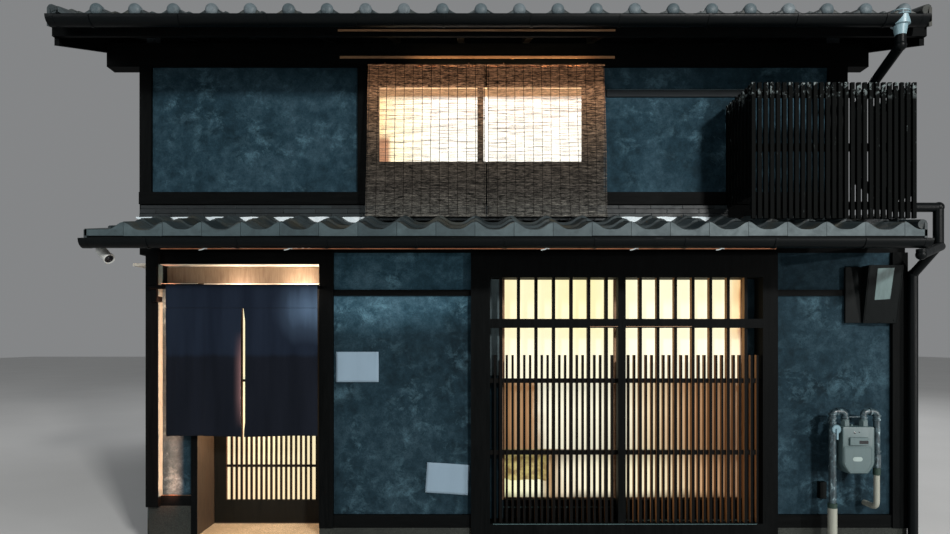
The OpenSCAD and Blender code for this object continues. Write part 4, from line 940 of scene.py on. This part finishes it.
def make_meter():
    """Gas meter: body, lower cover, display window, blank label and unions."""
    low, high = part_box("gas_meter")
    front, back_y = low.y + 0.014, FRONT - 0.075
    body, dark, oval = Shape(), Shape(), Shape()

    def outline(x0, x1, z0, z1, chamfer, rise, corner):
        """A rectangle whose foot runs in along two curves."""
        left = [(x0 + chamfer * (1 - t) ** 1.25, z0 + rise * t * (0.85 + 0.15 * t)) for t in shares(6)]
        right = [(x0 + x1 - x, z) for x, z in left]
        top = [q for q in rounded((x0, x1), (z0, z1), corner) if q[1] > z1 - corner * 1.01]
        return right + top + left[::-1]

    body.slab(outline(low.x, high.x, low.z, high.z, 0.044, 0.07, 0.012), (back_y, 0.004), (back_y - 0.004, 0),
              (front + 0.008, 0), (front + 0.002, 0.002), (front, 0.007))
    body.slab(outline(low.x + 0.007, high.x - 0.014, low.z + 0.004, 0.791, 0.041, 0.067, 0.006),
              (front + 0.002, 0), (front - 0.004, 0), (front - 0.006, 0.002))
    groove = outline(low.x + 0.016, high.x - 0.023, low.z + 0.013, 0.782, 0.038, 0.063, 0.005)
    body.tube([(x, front - 0.006, z) for x, z in groove + groove[:1]], 0.0014, 6)
    body.plate((2.288, 2.413), (0.8, 0.853), 0.007, (front + 0.002, 0), (low.y + 0.003, 0), (low.y, 0.003))
    for x in (2.296, 2.333):
        body.turned([(0.009, -0.001), (0.009, 0.007), (0.006, 0.011), (0.002, 0.012)], (x, PIPE_Y, high.z))
    for x in (-0.062, 0.062):
        at = ((low.x + high.x) / 2 + x, PIPE_Y, high.z)
        body.turned([(0.0285, 0), (0.0285, 0.034)], at, sides=6)
        body.turned([(0.0255, 0.034), (0.0255, 0.044), (0.022, 0.046)], at)
    body.build("meter_body", METER, "meter_paint", smooth=0.5, stands_for=["gas_meter"])
    dark.plate((2.349, 2.4085), (0.81, 0.832), 0.003, (low.y + 0.001, 0), (low.y - 0.0008, 0.0005))
    for x, z, r in ((2.326, 0.8834, 0.007), (2.356, 0.8867, 0.004)):
        dark.turned([(r, 0.001), (r, -0.0015), (r * 0.6, -0.003)], (x, front, z), (0, 1, 0), 16)
    dark.build("meter_window", BLACK, "meter_paint")
    oval.slab(rounded((2.31, 2.375), (0.693, 0.723), 0.0149, 8), (front - 0.004, 0), (front - 0.0068, 0.0005))
    oval.build("meter_label", OVAL, "meter_paint")


def make_pipes():
    """Gas riser with its cock, the loop over the meter and the outlet."""
    y = PIPE_Y
    low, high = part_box("gas_meter")
    left, right = ((low.x + high.x) / 2 + x for x in (-0.062, 0.062))
    riser_x, outlet_x, bar_z, top_z = low.x - 0.04, high.x + 0.045, high.z + 0.096, high.z + 0.044
    pipes, bands, pale, cock = Shape(), Shape(), Shape(), Shape()

    def run(*points):
        """An upright pipe up to the bar, along it and down again."""
        pipes.tube(bent([(x, y, z) for x, z in points], 0.03), 0.021)

    def ring(shape, x, z0, z1, r, sides=20):
        """A collar around an upright pipe."""
        outline = [(r - 0.003, z0), (r, z0 + 0.002), (r, z1 - 0.002), (r - 0.003, z1)]
        shape.turned(outline, (x, y, 0), sides=sides)

    run((riser_x, 0.9), (riser_x, bar_z), (left, bar_z), (left, top_z))
    pipes.tube([(riser_x, y, 0.4), (riser_x, y, 0.904)], 0.024)
    run((right, top_z), (right, bar_z), (outlet_x, bar_z), (outlet_x, 0.7))
    for z in (0.938, 0.968, 0.993):
        ring(pipes, riser_x, z, z + 0.016, 0.0262)
    for x, z in ((left, 0.972), (right, 0.972), (outlet_x, 0.982), (outlet_x, 0.955)):
        ring(pipes, x, z, z + 0.015, 0.0258)
    for x in (riser_x + 0.032, (right + outlet_x) / 2):
        pipes.turned([(0.022, -0.008), (0.026, -0.006), (0.026, 0.006), (0.022, 0.008)], (x, y, bar_z),
                     (1, 0, 0))
    ring(pipes, outlet_x, 0.64, 0.733, 0.0272, 6)
    ring(pipes, outlet_x, 0.745, 0.76, 0.0255)
    pipes.tube([(left, y, 0.982), (right, y, 0.982)], 0.0045, 10)
    pipes.build("gas_pipe_runs", PIPE, "pipe_paint", stands_for=["gas_pipes"])
    ring(bands, outlet_x, 0.591, 0.641, 0.0235)
    ring(bands, riser_x, 0.369, 0.403, 0.0297)
    bands.build("gas_pipe_bands", GREEN, "pipe_paint")
    pale.turned([(0.0292, 0), (0.0292, 0.3695), (0.026, 0.371)], (riser_x, y, 0))
    outlet = [(outlet_x, y, 0.592), (outlet_x, y, 0.372), (outlet_x, FRONT - 0.0005, 0.372)]
    pale.tube(bent(outlet, 0.05, 8), 0.0188)
    pale.build("gas_pipe_sleeves", IVORY, "pipe_paint")
    cock.turned([(0, 0.044), (0.026, 0.044), (0.031, 0.04), (0.031, 0.022), (0.025, 0)],
                (riser_x + 0.006, y, 0.904), (0, -1, 0), 28)
    cock.plate((riser_x - 0.001, riser_x + 0.013), (0.835, 0.91), 0.006, (y - 0.043, 0), (y - 0.051, 0),
               (y - 0.053, 0.002))
    cock.build("gas_cock", STEEL, "pipe_paint", smooth=0.5)


def make_boxes():
    """Electricity meter box with a sloped lid, a black sheet on the wall to its left that is painted shadow,
    and the small box.
    """
    low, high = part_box("electric_boxes")
    foot_z, box_right_x = 1.615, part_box("front_posts")[1].x - 0.105
    x0, small_x = box_right_x - 0.215, box_right_x - 0.508
    lid_y, back_y = FRONT - 0.045, FRONT - 0.033
    lid = [(lid_y, foot_z), (back_y, foot_z), (back_y, high.z), (FRONT - 0.113, high.z)]
    box, label = Shape(), Shape()
    for x in ((x0 + 0.003, high.x - 0.003), (x0, x0 + 0.012), (high.x - 0.012, high.x)):
        box.prism(lid, x)
    box.box((x0 + 0.02, box_right_x - 0.001), (back_y, FRONT - 0.0155), (foot_z + 0.01, high.z - 0.01))
    for k in range(9):
        z = foot_z + 0.03 + k * 0.038
        box.box((x0 - 0.0015, x0 + 0.002), (FRONT - 0.05 - 0.005 * k, FRONT - 0.036), (z, z + 0.006))
    for x in (x0 + 0.025, high.x - 0.025):
        box.turned([(0.006, -0.002), (0.006, 0.002), (0.004, 0.004)], (x, FRONT - 0.047, foot_z + 0.02),
                   (0, -1, -0.17), 12)
    box.tube([(x0 + 0.115, FRONT - 0.05, z) for z in (foot_z + 0.004, foot_z)], 0.012)
    # Painted shadow: a black sheet on the wall left of the box, where the box's shadow falls.
    box.box((box_right_x - 0.327, x0 + 0.003), (FRONT - 0.0295, FRONT - 0.0155), (foot_z + 0.003, high.z - 0.004))
    box.plate((small_x, small_x + 0.048), (0.405, 0.522), 0.004, (FRONT - 0.0005, 0), (FRONT - 0.036, 0),
              (FRONT - 0.04, 0.003))
    box.build("meter_boxes", BOX, "box_paint", smooth=0.5, bevel=0.0025, stands_for=["electric_boxes"])
    corners = ((2.531, 1.986), (2.643, 1.989), (2.6365, 1.781), (2.531, 1.7735))
    label.loft([[(x, lid_y - (z - foot_z) * 0.068 / (high.z - foot_z) - out, z) for x, z in corners]
                for out in (-0.001, 0.0015)])
    label.build("meter_box_label", LABEL, "box_paint", smooth=0)


def make_camera():
    """Security camera: banded body, pale ring, dark lens and arm."""
    back = Vector((POST_X - 0.082, FRONT - 0.44, 2.061))
    aim = Vector((0.713, -0.423, -0.56)).normalized()
    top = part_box("security_camera")[1].z
    body, lens = Shape(), Shape()
    outline = [
        (0.004, -0.026), (0.018, -0.024), (0.027, -0.017), (0.0305, -0.006), (0.031, 0.004), (0.031, 0.09),
        (0.034, 0.091), (0.034, 0.107), (0.0325, 0.109), (0.0285, 0.109), (0.0275, 0.101), (0.002, 0.1)]
    body.turned(outline, back, aim, 32)
    body.turned([(0.0318, 0.03), (0.0322, 0.032), (0.0322, 0.036), (0.0318, 0.038)], back, aim, 32)
    body.tube([back, (back.x, back.y, top - 0.02)], 0.009, 14)
    body.turned([(0.012, -0.03), (0.028, -0.022), (0.028, -0.012), (0.026, -0.01)], (back.x, back.y, top))
    body.build("camera_body", WHITE, "camera_plastic", smooth=0.5, stands_for=["security_camera"])
    lens.turned([(0.0265, 0.1005), (0.026, 0.103), (0.014, 0.1035), (0.0135, 0.102), (0.011, 0.105),
                 (0.004, 0.1075), (0.001, 0.108)], back, aim, 28)
    lens.build("camera_lens", BLACK, "camera_plastic", smooth=0.5)


def make_notices():
    """Two blank sheets whose corners have come away from the wall."""
    width, height = 0.297, 0.21
    upper_x, lower_x = POST_X + 1.293 + width / 2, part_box("window_frame")[0].x - 0.163
    corners = ((-0.5, -0.5), (0.5, -0.5), (-0.5, 0.5), (0.5, 0.5))
    papers = Shape()
    for cx, cz, turn, lifts in ((upper_x, 1.313, 0, (0.003, 0.006, 0.004, 0.009)),
                                (lower_x, 0.537, -0.066, (0.004, 0.003, 0.008, 0.005))):
        rows = []
        for v in spread(-0.5, 0.5, 0, 12):
            row = []
            for u in spread(-0.5, 0.5, 0, 16):
                curl = 0.0012 * (sin(u * 11 + cz * 9) + 1)
                for (a, b), lift in zip(corners, lifts):
                    curl += lift * max(0, 1 - hypot((a - u) * 1.4, b - v) / 0.5) ** 2
                x, z = u * width, v * height
                row.append((cx + x * cos(turn) - z * sin(turn), FRONT - 0.0015 - curl,
                            cz + x * sin(turn) + z * cos(turn)))
            rows.append(row)
        papers.shell(rows, (0, 0.0009, 0))
    papers.build("blank_sheets", PAPER, "notice_paper", smooth=3.2, stands_for=["notices"])


def make_gutters():
    """Beads, joints and clips of the gutters, a warm line along the lower gutter's foot that is painted
    reflected light, and the funnel.
    """
    front_y, main_z = MAIN_TIP - 0.06, main_under(MAIN_TIP) + 0.075
    lower_y, lower_z = FRONT - 0.576, LOWER_LO.z - 0.032
    post_low, post_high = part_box("upper_posts")
    main_x, lower_x = (MAIN_LO.x + 0.08, MAIN_HI.x - 0.105), (post_low.x + 0.026, post_high.x + 0.08)
    beads, lit_line, clips, funnel = Shape(), Shape(), Shape(), Shape()
    for (a, b), y, z, joints in (
            (main_x, front_y, main_z, (-0.72, 1.1)), (lower_x, lower_y, lower_z, (-0.9, 0.9)),
            (main_x, 2 * RIDGE_Y - front_y, main_z, (-0.7, 1.1))):
        for side in (y - 0.05, y + 0.05):
            beads.tube([(a, side, z), (b, side, z)], 0.0035, 8)
        for x in joints + (a + 0.004, b - 0.004):
            beads.shell([[(end, y + 0.0535 * cos(t), z - 0.0535 * sin(t)) for t in shares(16, pi)]
                         for end in (x - 0.024, x + 0.024)], (0, 0, 0.002))
    beads.build("gutter_beads", GUTTER, "gutter_paint")
    # Painted light: a warm line along the lower gutter's bottom edge.
    lit_line.tube([(x, lower_y, lower_z - 0.0555) for x in (lower_x[0] + 0.45, lower_x[1] - 0.9)], 0.0028, 8)
    lit_line.build("gutter_lit_line", GUTTER_LIGHT_LINE, "gutter_paint")
    for x in (-1.846, -1.331, 0.2235, 0.762, 1.282):
        hook = ((-0.024, 0, 0.064), (0, 0.004, 0.06), (0.012, 0, 0.052), (0.026, 0, 0.056))
        clips.tube(bent([(x + a, lower_y - b, lower_z - c) for a, b, c in hook], 0.01, 4), 0.0036, 8)
    clips.build("gutter_clips", CLIPS, "gutter_paint")

    x, hoop_r = post_high.x - 0.03, 0.052
    outline = [(0.028, -0.116), (0.03, -0.114), (0.04, -0.05), (0.053, -0.046), (0.0545, -0.02),
               (0.0545, 0.004), (0.052, 0.005), (0.051, -0.018)]
    funnel.turned(outline, (x, front_y, main_z), sides=28)
    for rise, tilt in ((0.012, 0.004), (0.03, -0.005)):
        funnel.tube([(x + hoop_r * cos(t), front_y + hoop_r * sin(t), main_z + rise + tilt * cos(t))
                     for t in shares(28, tau)], 0.003, 8)
    for t in (0.4, 2.4, 4.4):
        foot = (x + hoop_r * cos(t), front_y + hoop_r * sin(t))
        funnel.tube([(*foot, main_z), (*foot, main_z + 0.03)], 0.0025, 6)
    funnel.build("gutter_funnel", FUNNEL, "gutter_paint", smooth=0.5)


def make_trim():
    """Sash members, thin strips around the openings and under the eaves, and strips of painted light and
    shade.
    """
    bay_z, sill_z = (0.369, 1.93), (0.369, 0.376)
    strips("window_sashes", RAIL,
           *((x, (0.124, 0.138), (0.372, 1.93))
             for x in ((0.001, 0.012), (0.789, 0.811), (0.84, 0.864), (1.701, BAY_END - 0.001))),
           ((0.002, 0.86), (0.126, 0.136), sill_z), ((0.864, 1.72), (0.126, 0.136), sill_z), bevel=0.0015)
    # Painted highlights: the two flat strips at 1.59 m are pale lines along the transom's lower front.
    strips("window_strips", RAIL, ((1.7175, 1.7215), (0.088, 0.124), bay_z),
           ((-0.024, -0.001), (0.083, 0.0895), bay_z),
           *((x, (-0.0462, -0.044), (1.5915, 1.5945)) for x in ((0.591, 0.784), (0.84, 1.293))))
    # Painted shade and light: a dark strip where a shadow band falls across the upper wall, and a pale line
    # along its top.
    for name, paint, slot, near, heights in (
            ("upper_wall_shadow_band", SHADOW_BAND, "dark_timber", (-0.012, -0.001), (3.228, 3.225, 3.279, 3.274)),
            ("upper_wall_light_line", FACES, "plaster", (-0.013, -0.0005), (3.2745, 3.2795, 3.284, 3.2785))):
        band_shape = Shape()
        band_shape.prism([(UPPER_FACE + near[k in (1, 2)], z) for k, z in enumerate(heights)], (0.735, 2.3))
        band_shape.build(name, paint, slot, smooth=0)
    beam, tip = (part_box(node)[0].y - FRONT for node in ("roof_beams", "rafters"))
    # Painted light: pale brown lines along the beam's front and the rafters' tips, where the window light
    # catches them from below.
    strips("roof_beam_light_lines", RAIL, ((-1.157, 0.79), (beam - 0.004, beam - 0.0003), (3.494, 3.511)),
           ((-1.06, 0.68), (tip - 0.006, tip - 0.0003), (3.438, 3.449)))
    # Painted highlights: pale lines along the sill's edges and behind the lattice's foot.
    strips("window_sill_light_lines", LINING, ((-0.076, 1.74), (-0.0462, -0.0452), (0.2312, 0.2349)),
           ((0, 0.785), (0.0868, 0.0898), (0.3135, 0.3185)), ((0.85, 1.74), (0.024, 0.05), (0.2352, 0.2368)))
    strips("window_reveal", FACES, ((-0.095, -0.026), (0.083, 0.0895), (1.25, 1.93)), slot="plaster")

    wall_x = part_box("front_walls")[0].x
    jamb_x, door_x = wall_x + 0.255, wall_x + 1.096
    strips("porch_lining", INNER, ((wall_x, door_x), (0.072, 0.086), (1.8915, 2.0145)),
           ((jamb_x, jamb_x + 0.003), (-0.0285, 0.0895), (0.151, 1.86)),
           ((wall_x, jamb_x - 0.043), (-0.0212, -0.0005), (0.4232, 0.4248)), slot="porch_timber")
    strips("porch_soffit", CEILING, ((wall_x, door_x), (-0.0285, 0.0895), (2.0195, 2.0238)),
           ((wall_x, jamb_x - 0.002), (-0.0165, -0.01), (1.889, 1.8925)),
           ((jamb_x + 0.004, door_x), (0.069, 0.0718), (1.893, 1.8985)), slot="porch_timber")
    strips("post_lining", LINING, *(((wall_x, wall_x + 0.003), (-0.0585, -0.001), z)
                                    for z in ((0.4235, 1.76), (1.8, 2.02))), slot="porch_timber")


make_meter()
make_pipes()
make_boxes()
make_camera()
make_notices()
make_gutters()
make_trim()


# Materials and rounded edges for the solids that stay as they are

NODE_PAINT = {
    STONE: "foundation_stones",
    FLOOR: "ground_floor",
    BOARDS: "upper_floor",
    PLASTER: "upper_walls",
    LOWER_PLASTER: "front_walls",
    PARTY: "party_wall_left party_wall_right rear_walls",
    TIMBER: "front_posts upper_posts window_frame rear_posts upper_window_frame",
    TIMBER_X: "sill_beams front_beams roof_beams lower_rafters rafters verge_boards noren_rod",
    LATTICE: "lattice_right",
    LATTICE_LEFT: "lattice_left",
    DOOR: "entrance_door",
    CEILING: "porch_ceiling",
    INNER: "porch_inner_walls",
    GUTTER: "gutters downpipes",
    SCREEN: "slat_screen",
    LOWER_GLOW: "window_glass",
    DOOR_GLOW: "door_glass",
    UPPER_GLOW: "upper_window_glass",
    PANE: "rear_glass",
}
for paint, names in NODE_PAINT.items():
    for name in names.split():
        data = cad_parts[name].data
        data.materials.clear()
        data.materials.append(paint)

EDGED = {"front_posts": 0.004, "upper_posts": 0.004, "window_frame": 0.003, "front_beams": 0.004,
         "sill_beams": 0.004, "foundation_stones": 0.008}
for name, width in EDGED.items():
    round_edges(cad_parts[name], width, 0.7)


# Studio: floor, light and camera


def lamp(name, at, power, tint, size, aim=None, spot=False):
    """A soft rectangle or a spot if it is aimed, otherwise a round lamp."""
    kind = "SPOT" if spot else "AREA" if aim else "POINT"
    data = bpy.data.lights.new(name, kind)
    data.energy, data.color = power, tint
    if kind == "AREA":
        data.shape = "RECTANGLE"
        data.size, data.size_y = size
    else:
        data.shadow_soft_size = size
    if spot:
        data.spot_size, data.spot_blend = radians(28), 0.8
    light = put(name, data)
    light.location = at
    if aim:
        light.rotation_euler = (Vector(aim) - Vector(at)).to_track_quat("-Z", "Y").to_euler()


def make_studio():
    """A pale floor, soft light and the photograph's camera."""
    floor = Shape()
    floor.box((-40, 40), (-30, 50), (-0.05, -0.001))
    p = Paint("studio_floor", 0.9, 0.1)
    paint = p.done(p.ramp(p.noise(0.6), (0.3, (0.62, 0.62, 0.61)), (0.7, (0.66, 0.66, 0.65))), None)
    ground = floor.as_object("studio_floor", paint, 0)

    world = bpy.data.worlds.new("studio")
    bpy.context.scene.world = world
    world.use_nodes = True
    back = world.node_tree.nodes["Background"]
    back.inputs["Color"].default_value = (0.92, 0.94, 0.96, 1)
    back.inputs["Strength"].default_value = 0.25

    lamp("key", (6.5, FRONT - 13, 7), 2050, (1, 0.99, 0.97), (1.2, 1.2), (-0.3, FRONT, 2.4))
    lamp("fill", (-8, FRONT - 7, 5), 200, (0.94, 0.97, 1), (5, 4), (0, FRONT, 2))
    lamp("rear", (3, 9, 8), 600, (0.97, 0.98, 1), (6, 5), (0, 3, 2))
    lamp("wall_lamp", (-2.27, FRONT - 0.066, 1.12), 16, (1, 0.34, 0.18), (0.02, 1.38),
         (-2.326, FRONT - 0.024, 1.12))
    lamp("eave_lamp", (0, FRONT + 0.05, 3.4), 3, (1, 0.66, 0.36), (1.25, 0.02), (0, FRONT + 0.07, 4))
    lamp("side", (10, FRONT - 8.5, 1.6), 2000, (1, 0.98, 0.95), 0.12, (1.2, FRONT, 0.75), spot=True)
    lamp("porch_lamp", (-1.42, FRONT - 0.03, 1.85), 7.6, (1, 0.8, 0.66), 0.08)
    lamp("porch_lamp_left", (-1.85, FRONT - 0.03, 1.85), 4.2, (1, 0.78, 0.64), 0.08)
    lamp("floor_lamp", (-1.75, FRONT + 0.04, 0.98), 12, (1, 0.78, 0.56), 0.06)

    photo_width, focal_length, horizon_shift = 950, 640, 73
    camera = bpy.data.cameras.new("camera")
    camera.sensor_width = 36
    camera.lens = 36 * focal_length / photo_width
    camera.shift_y = horizon_shift / photo_width
    eye = put("camera", camera)
    eye.location = (-0.2, FRONT - 4.448, 1.5)
    eye.rotation_euler = (pi / 2, 0, 0)
    bpy.context.scene.camera = eye
    bpy.context.scene.view_settings.view_transform = "Standard"


make_studio()
